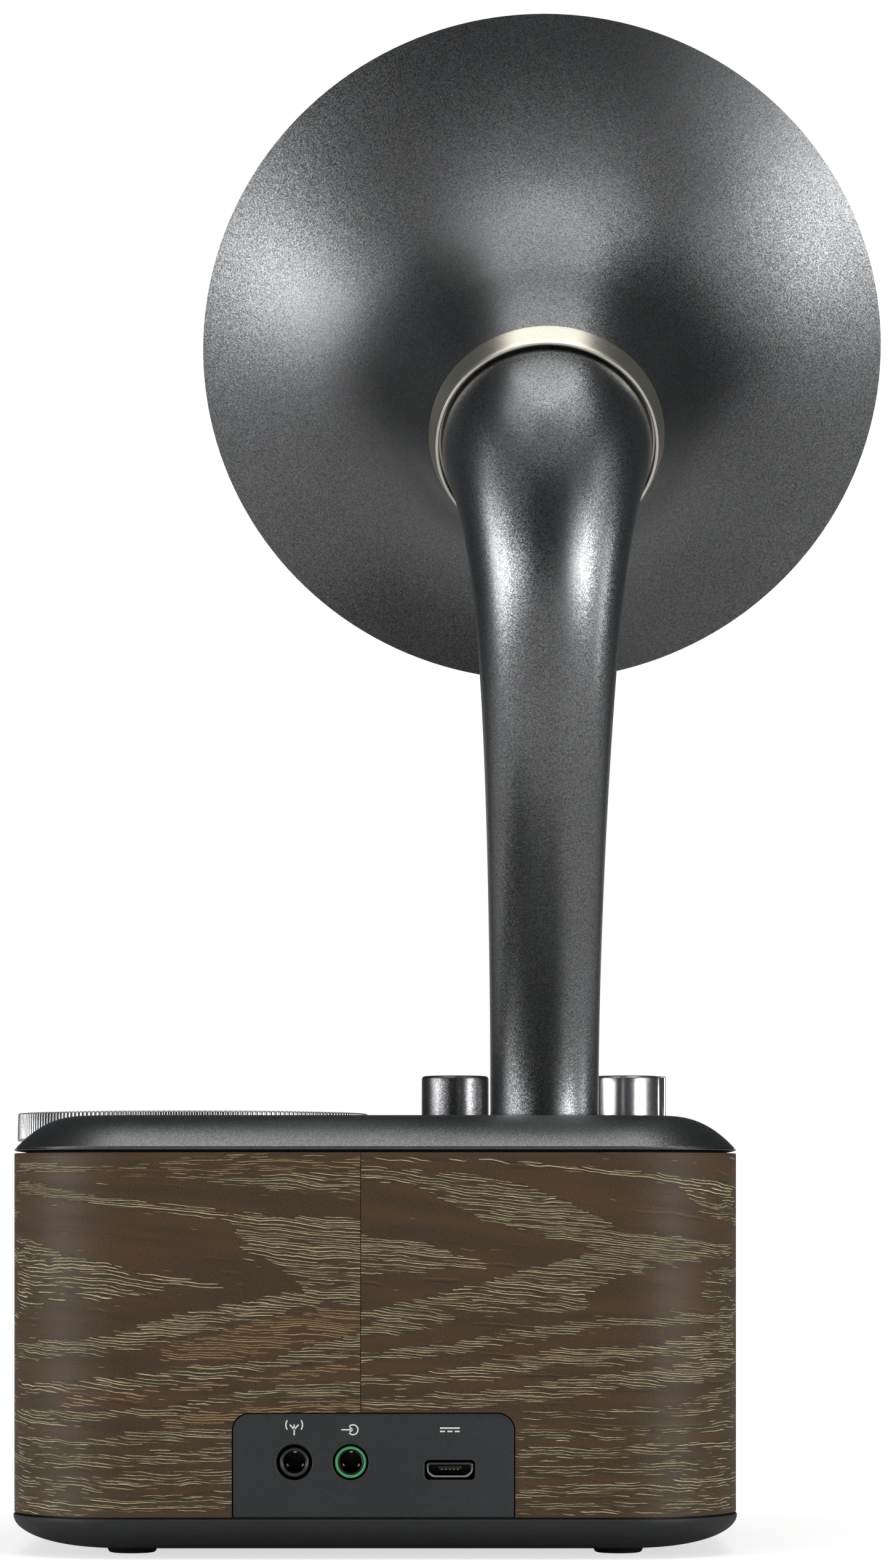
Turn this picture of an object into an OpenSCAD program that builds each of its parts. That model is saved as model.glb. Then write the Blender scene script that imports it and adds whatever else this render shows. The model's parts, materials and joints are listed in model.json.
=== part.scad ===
// Table-top radio loudspeaker with a swan-neck horn on a wooden cabinet.
// Millimetres. +Z up, the origin is the centre of the footprint on the table.
// The horn mouth faces -Y, the sockets face +Y, and the tuning dial overhangs the +X side.

/* [Cabinet] */
// Width and depth of the square cabinet
base_w = 120; // [118:0.5:124]
// Radius of the cabinet's upright corners
corner_r = 20; // [19:0.5:21]
// Height of the wooden body above the table at its lower edge
wood_z0 = 6.9; // [6.8:0.1:7]
// Height of the wooden body's upper edge
wood_z1 = 66.25; // [66:0.05:66.3]
// Thickness of the veneer skin
veneer_t = 0.6; // [0.4:0.1:0.8]
// Thickness of the core board behind the veneer
core_t = 4; // [3.5:0.1:4.2]
// Distance of the rear veneer seam from the middle plane
seam_x = 2.1; // [-10:0.1:10]
// Width of the rear veneer seam
seam_w = 0.12; // [0.08:0.01:0.3]

/* [Lid] */
// Height of the lid's lower edge above the table
lid_z0 = 66.6; // [66.55:0.05:66.7]
// Height of the lid's top face above the table
lid_z1 = 72.5; // [72.3:0.1:72.8]
// Horizontal depth of the lid's soft shoulder
lid_shoulder = 12; // [10:0.5:13]
// Height of the bright edge band along the lid's lower rim
lid_band_h = 0.6; // [0.4:0.1:0.8]

/* [Bottom tray] */
// Height of the tray's underside above the table
tray_z0 = 1; // [0.8:0.1:1.2]
// Height of the tray's outer lip
tray_z1 = 6.6; // [6.5:0.1:6.7]
// Horizontal depth of the tray's lower shoulder
tray_shoulder = 15; // [12:0.5:16]
// Radius of each foot
foot_r = 4.1; // [3.5:0.1:4.2]
// Distance of the feet from the middle planes
foot_pos = 40.4; // [39:0.2:41]

/* [Horn] */
// Sideways position of the horn's plane
horn_x = -28.9; // [-30:0.1:-28]
// Outer radius of the neck at the lid
neck_r0 = 9.43; // [9.2:0.01:9.8]
// Outer radius of the neck at the collar
neck_r1 = 17.9; // [17.2:0.1:17.9]
// Wall thickness of the neck
neck_wall = 1.2; // [1:0.1:1.3]
// How far the neck's waist lies behind its foot
neck_back = 27.4; // [20:0.2:30]
// Height of the neck's waist above the table
neck_waist_z = 136.5; // [132:0.5:140]
// Backward lean of the neck at its waist in degrees
neck_lean = 29; // [22:0.5:33]
// Distance of the collar centre behind the neck's foot
collar_back = 24; // [22:0.5:26]
// Height of the collar centre above the table
collar_z = 186.2; // [184:0.2:188]
// Upward tilt of the collar's axis in degrees
collar_tilt = 33; // [30:0.5:36]
// Upward tilt of the horn mouth's axis in degrees
mouth_tilt = 24; // [20:0.5:28]
// Radius of the horn mouth over its rolled rim
mouth_r = 60.6; // [55:0.2:61]
// Length of the bell along its axis, from the collar's near face
bell_len = 53.4; // [50:0.2:56]
// Wall thickness of the bell
bell_wall = 0.9; // [0.8:0.05:1.2]

/* [Tuning dial] */
// Outer radius of the dial over its flutes
dial_r = 30.5; // [29.5:0.1:30.8]
// Sideways position of the dial's axis
dial_x = 32.3; // [31.8:0.1:32.5]
// Height of the dial's underside above the table
dial_z0 = 68.8; // [68.7:0.1:69]
// Height of the dial's top above the table
dial_z1 = 73.6; // [73.5:0.1:74]
// Number of flutes round the dial
dial_flutes = 216; // [120:4:240]
// Depth of each flute
flute_depth = 0.35; // [0.2:0.05:0.5]

/* [Knobs] */
// Radius of the two knobs
knob_r = 6.08; // [6:0.02:6.3]
// Height of a knob
knob_h = 8.25; // [7.4:0.05:9]
// Distance of each knob's axis from the horn's plane
knob_dx = 15.5; // [15:0.1:16]
// Distance of the knobs' axes in front of the middle plane
knob_front = 36; // [35:0.2:37]
// Width of the bright index strip set in each knob
index_w = 0.9; // [0.6:0.1:1.2]
// How far each index strip stands out from its knob's side
index_out = 1.1; // [0.3:0.1:1.4]

/* [Sockets] */
// Width of the rear socket plate
plate_w = 45.8; // [44:0.2:48]
// Height of the socket plate's upper edge above the table
plate_z1 = 23.8; // [23:0.2:25]
// Radius of the 3.5 mm sockets' bores
jack_bore_r = 1.8; // [1.78:0.01:1.85]
// Depth of the 3.5 mm sockets' bores
jack_depth = 14.3; // [13.8:0.1:14.4]
// Height of the 3.5 mm sockets' axes above the table
jack_z = 15.85; // [15.6:0.05:16]
// Sideways position of the antenna socket
antenna_x = 12.9; // [11.5:0.1:14]
// Sideways position of the audio socket
audio_x = 3.74; // [3:0.02:4.5]
// Sideways position of the power socket
usb_x = -12.4; // [-14:0.1:-11]
// Height of the power socket's middle above the table
usb_z = 14.6; // [14.55:0.01:14.65]

/* [Driver] */
// Outer radius of the driver's front flange
driver_r = 24; // [23.6:0.1:24.2]
// Radius of the driver's moving cone
cone_r = 16.6; // [15.5:0.1:16.8]
// Radius of the ring magnet
magnet_r = 13; // [11:0.5:14]

/* [Hidden] */

$fn = 96;
sides = [-1, 1];

// cabinet walls
half = base_w / 2;
core_out = veneer_t + 0.05;         // the core starts this far inside the outer faces
core_in = core_out + core_t;        // and its cavity this far
wall_y = half - core_in;            // inner face of the rear wall
cavity = base_w - 2 * core_in;
cavity_r = corner_r - core_in;
plug_w = cavity - 0.5;              // outline of the lid and tray parts that fit in the cavity
plug_r = cavity_r - 0.25;

// levels shared between sections
roof_z = lid_z1 - 2.5;              // underside of the lid's top plate
dial_floor = dial_z0 - 0.4;         // floor of the dial's recess
dial_seat_t = 1.6;                  // thickness of the lid below that recess
board_t = 1.6;                      // thickness of both circuit boards
board_z = 11.3;                     // underside of the main board
board_top = board_z + board_t;
ctrl_z = 57.4;                      // underside of the control board
ctrl_top = ctrl_z + board_t;

// screws
lid_screw_pos = 47.4;               // lid screws' distance from the middle planes
driver_screw_r = 21.6;              // radius of the driver's screw circle

// ---------- shared shapes ----------
// Cutting shapes overrun the faces they pierce.

// upright round bar between two heights
module rod(r, z0, z1) {
    translate([0, 0, z0]) cylinder(r = r, h = z1 - z0);
}

// square with four round corners, centred
module rounded(w, d, r) {
    square([w - 2 * r, d], center = true);
    square([w, d - 2 * r], center = true);
    for (x = sides, y = sides)
        translate([x * (w / 2 - r), y * (d / 2 - r)]) circle(r = r);
}

// upright slab of a rounded square between two heights
module slab(w, r, z0, z1) {
    translate([0, 0, z0]) linear_extrude(z1 - z0) rounded(w, w, r);
}

// square frame of wall thickness t between two heights
module ring_slab(w, t, r, z0, z1) {
    translate([0, 0, z0]) linear_extrude(z1 - z0) difference() {
        rounded(w, w, r);
        rounded(w - 2 * t, w - 2 * t, r - t);
    }
}

// rounded-square slab whose rim follows a section of [radius, height] points
module soft_slab(w, r, section) {
    side = w - 2 * r;
    height = section[len(section) - 1][1];
    for (q = [0:3]) rotate(90 * q) {
        translate([side / 2, side / 2, 0]) rotate_extrude(angle = 90) polygon(section);
        translate([0, side / 2, 0]) rotate([90, 0, 90])
            translate([0, 0, -side / 2]) linear_extrude(side) polygon(section);
    }
    translate([-side / 2, -side / 2, 0]) cube([side, side, height]);
}

// bent strip of width w centred on x, its outline given in [y, z]
module strip(x, w, outline) {
    translate([x - w / 2, 0, 0]) rotate([90, 0, 90]) linear_extrude(w) polygon(outline);
}

// screw with its head below the origin and its shank pointing up
module screw(head_r, head_h, shank_r, shank_h) {
    overlap = 0.1;
    rod(head_r, -head_h, 0, $fn = 32);
    rod(shank_r, -overlap, shank_h - overlap, $fn = 32);
}

module at_corners(pos) {
    for (x = sides, y = sides) translate([x * pos, y * pos, 0]) children();
}

module at_horn() {
    translate([horn_x, 0, 0]) children();
}

module at_dial() {
    translate([dial_x, 0, 0]) children();
}

// the four driver screws, about the horn's axis
module at_driver_screws() {
    for (a = [45:90:315])
        translate([driver_screw_r * cos(a), driver_screw_r * sin(a), 0]) children();
}

module at_board_screws() {
    for (x = [-30, 30], y = [10, 47]) translate([x, y, 0]) children();
}

// the two socket plate screws, +Z turned to the rear
module at_plate_screws(y) {
    for (x = sides) translate([x * 26, y, 21]) rotate([-90, 0, 0]) children();
}

// ---------- horn curves, in the horn's upright plane ----------
// a point is [backward distance, height]

function mix(a, b, t) = a + (b - a) * t;

// point on a cubic Bezier curve of four control points
function bezier(ctrl, t) = let (
    a = mix(ctrl[0], ctrl[1], t),
    b = mix(ctrl[1], ctrl[2], t),
    c = mix(ctrl[2], ctrl[3], t),
    d = mix(a, b, t),
    e = mix(b, c, t)) mix(d, e, t);

// unit direction of that curve
function bezier_dir(ctrl, t) = let (
    a = mix(ctrl[1] - ctrl[0], ctrl[2] - ctrl[1], t),
    b = mix(ctrl[2] - ctrl[1], ctrl[3] - ctrl[2], t),
    d = mix(a, b, t)) d / norm(d);

function tilted(angle) = [-cos(angle), sin(angle)];
collar_dir = tilted(collar_tilt);
waist_dir = [sin(neck_lean), cos(neck_lean)];
neck_foot = [0, lid_z1];
neck_waist = [neck_back, neck_waist_z];
neck_end = [collar_back, collar_z];

// lengths of the curve handles at the foot, below and above the waist, and at the collar
foot_handle = 23.3;
waist_handle_low = 17.6;
waist_handle_high = 26.6;
collar_handle = 15.7;
neck_low = [neck_foot, neck_foot + [0, foot_handle],
            neck_waist - waist_handle_low * waist_dir, neck_waist];
neck_high = [neck_waist, neck_waist + waist_handle_high * waist_dir,
             neck_end - collar_handle * collar_dir, neck_end];

neck_n = 14;                        // steps on each half of the neck
neck_tip = 1.8;                     // straight end of the neck inside the collar
neck_tip_widen = 0.15;
neck_pts = concat([for (i = [0:neck_n - 1]) bezier(neck_low, i / neck_n)],
                  [for (i = [0:neck_n]) bezier(neck_high, i / neck_n)],
                  [neck_end + neck_tip * collar_dir]);
neck_dirs = concat([for (i = [0:neck_n - 1]) bezier_dir(neck_low, i / neck_n)],
                   [for (i = [0:neck_n]) bezier_dir(neck_high, i / neck_n)],
                   [collar_dir]);

// length along a row of points up to point i
function run(pts, i) = i == 0 ? 0 : run(pts, i - 1) + norm(pts[i] - pts[i - 1]);
neck_len = run(neck_pts, 2 * neck_n);

// the neck widens slowly at first and opens out steadily over its last fifth
function neck_radius(u) = neck_r0 + (neck_r1 - neck_r0)
    * (0.562 * pow(u, 2) - 0.204 * pow(u, 4) + 1.227 * pow(u, 8) - 0.585 * pow(u, 16));
neck_radii = [for (i = [0:2 * neck_n + 1])
    neck_radius(min(1, run(neck_pts, i) / neck_len)) + (i > 2 * neck_n ? neck_tip_widen : 0)];

// the bell leaves the collar along its axis, then settles to the mouth's tilt
bell_start = 2.6;                   // distance of the bell's throat from the collar's near face
bell_n = 19;                        // steps along the bell, closer towards the mouth
bell_run = bell_len - bell_start;
bell_dists = [for (i = [0:bell_n]) bell_start + bell_run * (1 - pow(1 - i / bell_n, 1.5))];
bell_settle_start = 5;              // where the tilt starts to change, and over what length
bell_settle_len = 15;
function ease(x) = let (t = min(1, max(0, x))) t * t * (3 - 2 * t);
function bell_dir(dist) = tilted(collar_tilt
    - (collar_tilt - mouth_tilt) * ease((dist - bell_settle_start) / bell_settle_len));

// each step along the bell's axis is integrated by Simpson's rule
function bell_step(i) = i == 0 ? bell_start * collar_dir
    : let (a = bell_dists[i - 1], b = bell_dists[i])
        (b - a) * (bell_dir(a) + 4 * bell_dir((a + b) / 2) + bell_dir(b)) / 6;
function bell_at(i) = i == 0 ? neck_end + bell_step(0) : bell_at(i - 1) + bell_step(i);

// radius at distance x from the throat: a plain cone plus a flare
bell_r0 = 18.2;
bell_slope = 0.384;
bell_power = 3.93;
bell_flare = mouth_r - bell_r0 - bell_slope * bell_run;
function bell_radius(x) = bell_r0 + bell_slope * x + bell_flare * pow(x / bell_run, bell_power);
function bell_gradient(x) = bell_slope
    + bell_power * bell_flare / bell_run * pow(x / bell_run, bell_power - 1);

// inner station facing outer station i: the wall is square to the flare, and to the axis at 0
function bell_inner(i, outer) = let (
    gradient = i > 0 ? bell_gradient(bell_dists[i] - bell_start) : 0,
    inset = bell_wall / sqrt(1 + gradient * gradient))
    [outer[0] + inset * gradient * outer[1], outer[1], outer[2] - inset];

// closed shell swept along the horn: every station is [centre, direction, radius]
module swept_shell(stations, m) {
    n = len(stations);
    pts = [for (s = stations, j = [0:m - 1]) let (
        centre = s[0],
        dir = s[1],
        across = s[2] * cos(360 * j / m),
        up = s[2] * sin(360 * j / m))
        [horn_x + across, centre[0] + up * dir[1], centre[1] - up * dir[0]]];
    faces = [for (i = [0:n - 1], j = [0:m - 1]) let (
        this = i * m,
        next = ((i + 1) % n) * m,
        k = (j + 1) % m)
        each [[this + j, next + j, this + k], [this + k, next + j, next + k]]];
    polyhedron(points = pts, faces = faces, convexity = 8);
}

// local frame of the collar: +Z along the horn's axis, origin on the collar's near face
module at_collar() {
    translate([horn_x, neck_end[0], neck_end[1]]) rotate([90 - collar_tilt, 0, 0]) children();
}

// ---------- horn ----------

mount_r = 8;                        // outer radius of the tube through the lid
seal_r = 9;
seal_z = lid_z1 - 0.4;              // floor of the seal's seat

// rolled rim beyond the last outer station: [distance along the axis, change of radius]
rim_roll = [[0.45, 0.02], [0.95, -0.35], [1.05, -0.9], [0.8, -1.4], [0.25, -1.6]];

module horn_bell() {
    outer = [for (i = [0:bell_n])
        [bell_at(i), bell_dir(bell_dists[i]), bell_radius(bell_dists[i] - bell_start)]];
    last = outer[bell_n];
    rim = [for (q = rim_roll) [last[0] + q[0] * last[1], last[1], last[2] + q[1]]];
    inner = [for (i = [bell_n:-1:0]) bell_inner(i, outer[i])];
    color("dimgray") swept_shell(concat(outer, rim, inner), 56);
}

// section: [radius, height in the collar's frame]
collar_section = [
    [18.35, 0.55], [18.85, 0], [18.98, 0.1], [20.1, 4.6], [19.95, 4.8],
    [19.4, 4.8], [18.45, 2.5], [17.1, 2.5], [17.1, 1.9], [18.35, 1.85]];

module collar_ring() {
    color("palegoldenrod") at_collar() rotate_extrude() polygon(collar_section);
}

module horn_neck() {
    last = len(neck_pts) - 1;
    outer = [for (i = [0:last]) [neck_pts[i], neck_dirs[i], neck_radii[i]]];
    inner = [for (i = [last:-1:0]) [neck_pts[i], neck_dirs[i], neck_radii[i] - neck_wall]];
    color("dimgray") swept_shell(concat(outer, inner), 40);
}

module neck_seal() {
    color("black") at_horn() difference() {
        rod(seal_r, seal_z, lid_z1);
        rod(8.2, seal_z - 1, seal_z + 2);
    }
}

module neck_mount() {
    color("silver") at_horn() difference() {
        union() {
            rod(mount_r, 62, lid_z1 - 0.1);
            rod(7.1, lid_z1 - 1, lid_z1 + 7);
        }
        rod(6, 50, 110);
    }
}

module neck_nut() {
    color("silver") at_horn() difference() {
        rod(11.5, roof_z - 3, roof_z - 0.05, $fn = 6);
        rod(mount_r + 0.05, roof_z - 4, roof_z + 2);
    }
}

// ---------- lid ----------

// index mark beside the dial
mark_x = dial_x - dial_r - 6.15;    // its outer end
mark_len = 3.9;
mark_w = 0.8;
mark_t = 0.35;
mark_gap = 0.05;                    // clearance all round in its pocket

// outer form of the lid: a bright edge band that steps in slightly, then a soft shoulder
function lid_section() = let (
    steps = 12,
    step_in = 0.3,
    height = lid_z1 - lid_z0,
    rise = height - lid_band_h)
    concat(
        [[0, 0], [corner_r - 0.35, 0], [corner_r, 0.15], [corner_r - 0.1, lid_band_h - 0.15]],
        [for (i = [0:steps]) let (t = i / steps)
            [corner_r - step_in - (lid_shoulder - step_in) * t,
             lid_band_h + rise * (1 - pow(1 - t, 2.4))]],
        [[0, height]]);

module lid_body() {
    difference() {
        translate([0, 0, lid_z0]) soft_slab(base_w, corner_r, lid_section());
        slab(base_w - 17, corner_r - 8, lid_z0 - 1, roof_z);
    }
    // skirt that locates in the cabinet
    ring_slab(plug_w, 2.3, plug_r, 63.5, lid_z0 + 0.3);
    // seat below the dial's recess
    intersection() {
        at_dial() rod(dial_r + 3, dial_floor - dial_seat_t, dial_floor + 3);
        slab(base_w - 12, corner_r - 6, lid_z0 - 0.5, roof_z + 0.5);
    }
    // bosses for the driver
    at_horn() at_driver_screws() rod(3, 50.1, roof_z + 0.5, $fn = 32);
    // bosses for the lid screws
    at_corners(lid_screw_pos) rod(3.2, 62.2, 68.2, $fn = 32);
}

module lid() {
    color("dimgray") difference() {
        union() lid_body();
        // dial recess, open at the side, and the hole for its capacitor's neck
        at_dial() rod(dial_r + 0.7, dial_floor, dial_floor + 10, $fn = 144);
        at_dial() rod(capacitor_neck_r + 0.1, 60, 75);
        // horn seat: stepped hole
        at_horn() rod(mount_r + 0.1, 60, 80);
        at_horn() rod(seal_r + 0.05, seal_z, seal_z + 3);
        for (x = [volume_x, mode_x])
            translate([x, knob_y, 0]) rod(bush_r + 0.1, 60, 80, $fn = 48);
        at_horn() at_driver_screws() rod(1.3, 49, 61, $fn = 32);
        at_corners(lid_screw_pos) rod(1.3, 61, 68, $fn = 32);
        // pocket of the dial's index mark
        translate([mark_x - mark_gap, -mark_w / 2 - mark_gap, lid_z1 - mark_t])
            cube([mark_len + 2 * mark_gap, mark_w + 2 * mark_gap, 2]);
    }
}

module lid_seal() {
    color("black") ring_slab(base_w - 4, 2.6, corner_r - 2, wood_z1, lid_z0);
}

module dial_index() {
    color("white") translate([mark_x, -mark_w / 2, lid_z1 - mark_t])
        cube([mark_len, mark_w, mark_t]);
}

module lid_screws() {
    color("silver") at_corners(lid_screw_pos) translate([0, 0, 55.9]) screw(2.4, 1.7, 1.25, 11);
}

// ---------- cabinet ----------

plate_flange_t = 1.7;
plate_y0 = wall_y - plate_flange_t - 0.05;    // inner face of the socket plate's flange
plate_y1 = half - 0.1;                        // outer face of the socket plate
foot_post_r = 4.6;                            // posts over the feet, in tray and core

// outline of the socket plate in X and Z, grown by a margin, running down past the wood
module plate_opening(margin) {
    r = 2.8 + margin;
    w = plate_w + 2 * margin;
    h = plate_z1 + margin;
    rotate([90, 0, 0]) translate([0, 0, -half - 5]) linear_extrude(20) {
        translate([-w / 2, 0]) square([w, h - r]);
        translate([-w / 2 + r, 0]) square([w - 2 * r, h]);
        for (x = sides) translate([x * (w / 2 - r), h - r]) circle(r = r, $fn = 48);
    }
}

module veneer_wrap() {
    color("saddlebrown") difference() {
        ring_slab(base_w, veneer_t, corner_r, wood_z0, wood_z1);
        plate_opening(0.15);
        translate([seam_x - seam_w / 2, half - 3, plate_z1 - 1]) cube([seam_w, 6, 60]);
    }
}

// blocks for the lid screws
module core_blocks() {
    block_w = 16;
    intersection() {
        slab(cavity + 2, cavity_r + 1, 40, 64);
        at_corners(50.6) translate([-block_w / 2, -block_w / 2, 56]) cube([block_w, block_w, 6]);
    }
}

// posts for the tray screws, each joined to a side wall by a web
module core_posts() {
    post_h = 11;
    web_t = 3;
    web_z = 1.2;
    web_end = half - 2;
    for (x = sides, y = sides) translate([0, y * foot_pos, 9.6]) {
        translate([x * foot_pos, 0, 0]) cylinder(r = foot_post_r, h = post_h, $fn = 48);
        translate([x > 0 ? foot_pos : -web_end, -web_t / 2, web_z])
            cube([web_end - foot_pos, web_t, post_h - web_z]);
    }
}

module cabinet_core() {
    color("peru") difference() {
        union() {
            ring_slab(base_w - 2 * core_out, core_t, corner_r - core_out, wood_z0, wood_z1);
            core_blocks();
            core_posts();
        }
        plate_opening(0.15);
        at_corners(lid_screw_pos) rod(1.7, 50, 70, $fn = 32);
        at_corners(foot_pos) rod(1.3, 8, 19, $fn = 32);
        at_plate_screws(wall_y - 1) cylinder(r = 0.95, h = 4, $fn = 32);
    }
}

module socket_plate() {
    cut_y = 40;                     // the holes are cut from here to the rear
    flange_w = 58;
    room_y = plate_y0 - 1;          // clearance behind the face, for the sockets' bodies
    room_d = 3.3;
    room_z = 10;
    color([0.2, 0.21, 0.22]) difference() {
        union() {
            intersection() {
                plate_opening(0);
                translate([-40, wall_y - 0.1, wood_z0]) cube([80, plate_y1 - wall_y + 0.1, 30]);
            }
            translate([-flange_w / 2, plate_y0, 10.3]) cube([flange_w, plate_flange_t, 16]);
        }
        for (x = [antenna_x, audio_x]) translate([x, cut_y, jack_z]) rotate([-90, 0, 0])
            cylinder(r = 2.92, h = 40, $fn = 64);
        translate([usb_x, cut_y, usb_z]) rotate([-90, 0, 0])
            linear_extrude(40) rounded(8.2, 3.2, 0.7, $fn = 24);
        translate([audio_x - 3.4, room_y, room_z])
            cube([antenna_x - audio_x + 6.8, room_d, 9.4]);
        translate([usb_x - 4.3, room_y, room_z]) cube([8.6, room_d, 6.6]);
        at_plate_screws(cut_y) cylinder(r = 1.2, h = 16, $fn = 32);
    }
}

module socket_plate_screws() {
    color("silver") at_plate_screws(plate_y0) screw(2, 1.3, 0.9, 4);
}

// ---------- bottom tray ----------

tray_floor = 3.4;                   // top of the tray's floor
tray_plug_z = 9.4;                  // top of the part that fits in the cavity
tray_screw_z = 4.4;                 // seat of the tray screws' heads
foot_h = 1.85;
battery_rest_z = 5.2;               // top of the pillars below the battery holder

// edge section: full radius up to foot, then running in by depth over a rise,
// as a quarter of an ellipse
function shoulder(r, depth, rise, foot, steps = 9) = concat(
    [[0, 0], [r, 0], [r, foot]],
    [for (i = [1:steps]) let (a = 90 * i / steps)
        [r - depth * (1 - cos(a)), foot + rise * sin(a)]],
    [[0, foot + rise]]);

module tray_body() {
    overhang = 0.15;
    lip = 0.3;
    r = corner_r + overhang;
    translate([0, 0, tray_z1]) mirror([0, 0, 1]) soft_slab(base_w + 2 * overhang, r,
        shoulder(r, tray_shoulder, tray_z1 - tray_z0 - lip, lip));
    // ledge that carries the wood, and the lip that locates it
    slab(base_w - 3, corner_r - 1.5, tray_z1 - 0.5, wood_z0);
    slab(plug_w, plug_r, tray_z1, tray_plug_z);
}

module bottom_tray() {
    color([0.12, 0.12, 0.13]) difference() {
        union() tray_body();
        // hollow, leaving the pillars
        difference() {
            slab(cavity - 6.5, cavity_r - 2, tray_floor, 20);
            at_corners(foot_pos) rod(foot_post_r, 0, tray_plug_z, $fn = 48);
            at_board_screws() rod(2.6, 0, board_z, $fn = 32);
            for (x = [-29, 29])
                translate([x, battery_y, 0]) rod(2.6, 0, battery_rest_z, $fn = 32);
        }
        at_board_screws() rod(1.05, 4.3, 24.3, $fn = 32);
        // foot recess, screw head and shank
        at_corners(foot_pos) {
            rod(foot_r + 0.15, 0, foot_h + 0.05, $fn = 64);
            rod(3.1, 0, tray_screw_z, $fn = 48);
            rod(1.7, 0, 20, $fn = 32);
        }
    }
}

module rubber_feet() {
    color("black") at_corners(foot_pos) rotate_extrude($fn = 64) polygon([
        [0, 0], [foot_r - 0.5, 0], [foot_r, 0.45], [foot_r, foot_h], [0, foot_h]]);
}

module tray_screws() {
    color("silver") at_corners(foot_pos) translate([0, 0, tray_screw_z])
        screw(2.8, 1.8, 1.25, 14);
}

// ---------- tuning dial ----------

dial_shaft_r = 3;
capacitor_neck_r = 4.5;
face_z0 = dial_z1 - 1.7;            // seat of the face plate in the dial

// each flute is a narrow groove between two flat-topped ribs
function dial_rim() = let (
    rib_half = 0.30,                // half a rib's width, as a share of the flute pitch
    valley_r = dial_r - flute_depth)
    [for (i = [0:dial_flutes - 1], p = [[-rib_half, dial_r], [rib_half, dial_r], [0.5, valley_r]])
        let (a = 360 * (i + p[0]) / dial_flutes) p[1] * [cos(a), sin(a)]];

module tuning_dial() {
    valley_r = dial_r - flute_depth;
    color([0.62, 0.62, 0.64]) at_dial() difference() {
        union() {
            translate([0, 0, dial_z0]) linear_extrude(dial_z1 - dial_z0 - 0.25)
                polygon(dial_rim());
            translate([0, 0, dial_z1 - 0.3]) cylinder(r1 = valley_r, r2 = valley_r - 0.3, h = 0.3);
        }
        // hollow underside round the hub
        difference() {
            rod(dial_r - 2.6, dial_z0 - 1, dial_z0 + 2.2);
            rod(5.4, dial_z0 - 2, dial_z0 + 4, $fn = 64);
        }
        // seat of the face plate
        rod(dial_r - 2, face_z0, face_z0 + 5);
        rod(dial_shaft_r + 0.02, dial_z0 - 1, dial_z0 + 9, $fn = 48);
    }
}

module dial_face() {
    color([0.08, 0.08, 0.09]) at_dial() difference() {
        rod(dial_r - 2.1, face_z0, face_z0 + 1.45);
        // finger dimple
        translate([0, -17.5, dial_z1 + 9.4]) sphere(r = 10.4);
    }
}

module tuning_shaft() {
    color("silver") at_dial() rod(dial_shaft_r, 60.5, face_z0, $fn = 48);
}

module tuning_capacitor() {
    w = 22;
    top = dial_floor - dial_seat_t - 0.05;
    color("ivory") at_dial() difference() {
        union() {
            translate([-w / 2, -w / 2, ctrl_top]) cube([w, w, top - ctrl_top]);
            rod(capacitor_neck_r, 62, dial_floor, $fn = 64);
        }
        rod(dial_shaft_r + 0.05, 60.4, 80.4, $fn = 48);
    }
}

// ---------- knobs ----------

volume_x = horn_x + knob_dx;
mode_x = horn_x - knob_dx;
knob_y = -knob_front;
knob_z0 = lid_z1 + 0.4;
knob_z1 = knob_z0 + knob_h;
spindle_r = 1.5;
bush_r = 2.5;                       // threaded neck of the control under each knob
slot_depth = 0.5;                   // slot of the index strip
strip_t = 0.48;

// the volume index faces the front, the mode index the -X side
volume_turn = -90;
mode_turn = 180;

module at_knob(x, turn = 0) {
    translate([x, knob_y, 0]) rotate(turn) children();
}

module knob(x, turn) {
    edge_r = knob_r - 0.04;
    chamfer = 0.35;
    at_knob(x, turn) difference() {
        rotate_extrude() polygon([[0, knob_z0], [knob_r, knob_z0], [edge_r, knob_z1 - chamfer],
            [edge_r - chamfer, knob_z1], [0, knob_z1]]);
        rod(4.95, knob_z0 - 1, knob_z0 + 2.6, $fn = 64);
        rod(spindle_r + 0.02, knob_z0 - 1, knob_z1 - 1.4, $fn = 32);
        // slot of the index strip, down one side and across the top
        translate([knob_r - slot_depth, -index_w / 2, knob_z0 - 1])
            cube([2, index_w, knob_h + 3]);
        translate([1, -index_w / 2, knob_z1 - slot_depth]) cube([8, index_w, 2]);
    }
}

module index_strip(x, turn) {
    w = index_w - 0.04;
    at_knob(x, turn) {
        translate([knob_r - strip_t, -w / 2, knob_z0]) cube([strip_t + index_out, w, knob_h]);
        translate([1.02, -w / 2, knob_z1 - strip_t]) cube([knob_r - 1.3, w, strip_t]);
    }
}

module spindle(x) {
    at_knob(x) rod(spindle_r, 62.4, knob_z1 - 2.2, $fn = 32);
}

module control_body(x) {
    at_knob(x) difference() {
        union() {
            rod(6, ctrl_top, roof_z - 0.05, $fn = 64);
            rod(bush_r, 66, lid_z1 + 2, $fn = 48);
        }
        rod(spindle_r + 0.05, 62.3, 82.3, $fn = 32);
    }
}

module control_nut(x) {
    z = lid_z1 + 0.02;
    at_knob(x) difference() {
        rod(4.5, z, z + 1.6, $fn = 6);
        rod(bush_r + 0.02, z - 1, z + 3, $fn = 48);
    }
}

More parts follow.
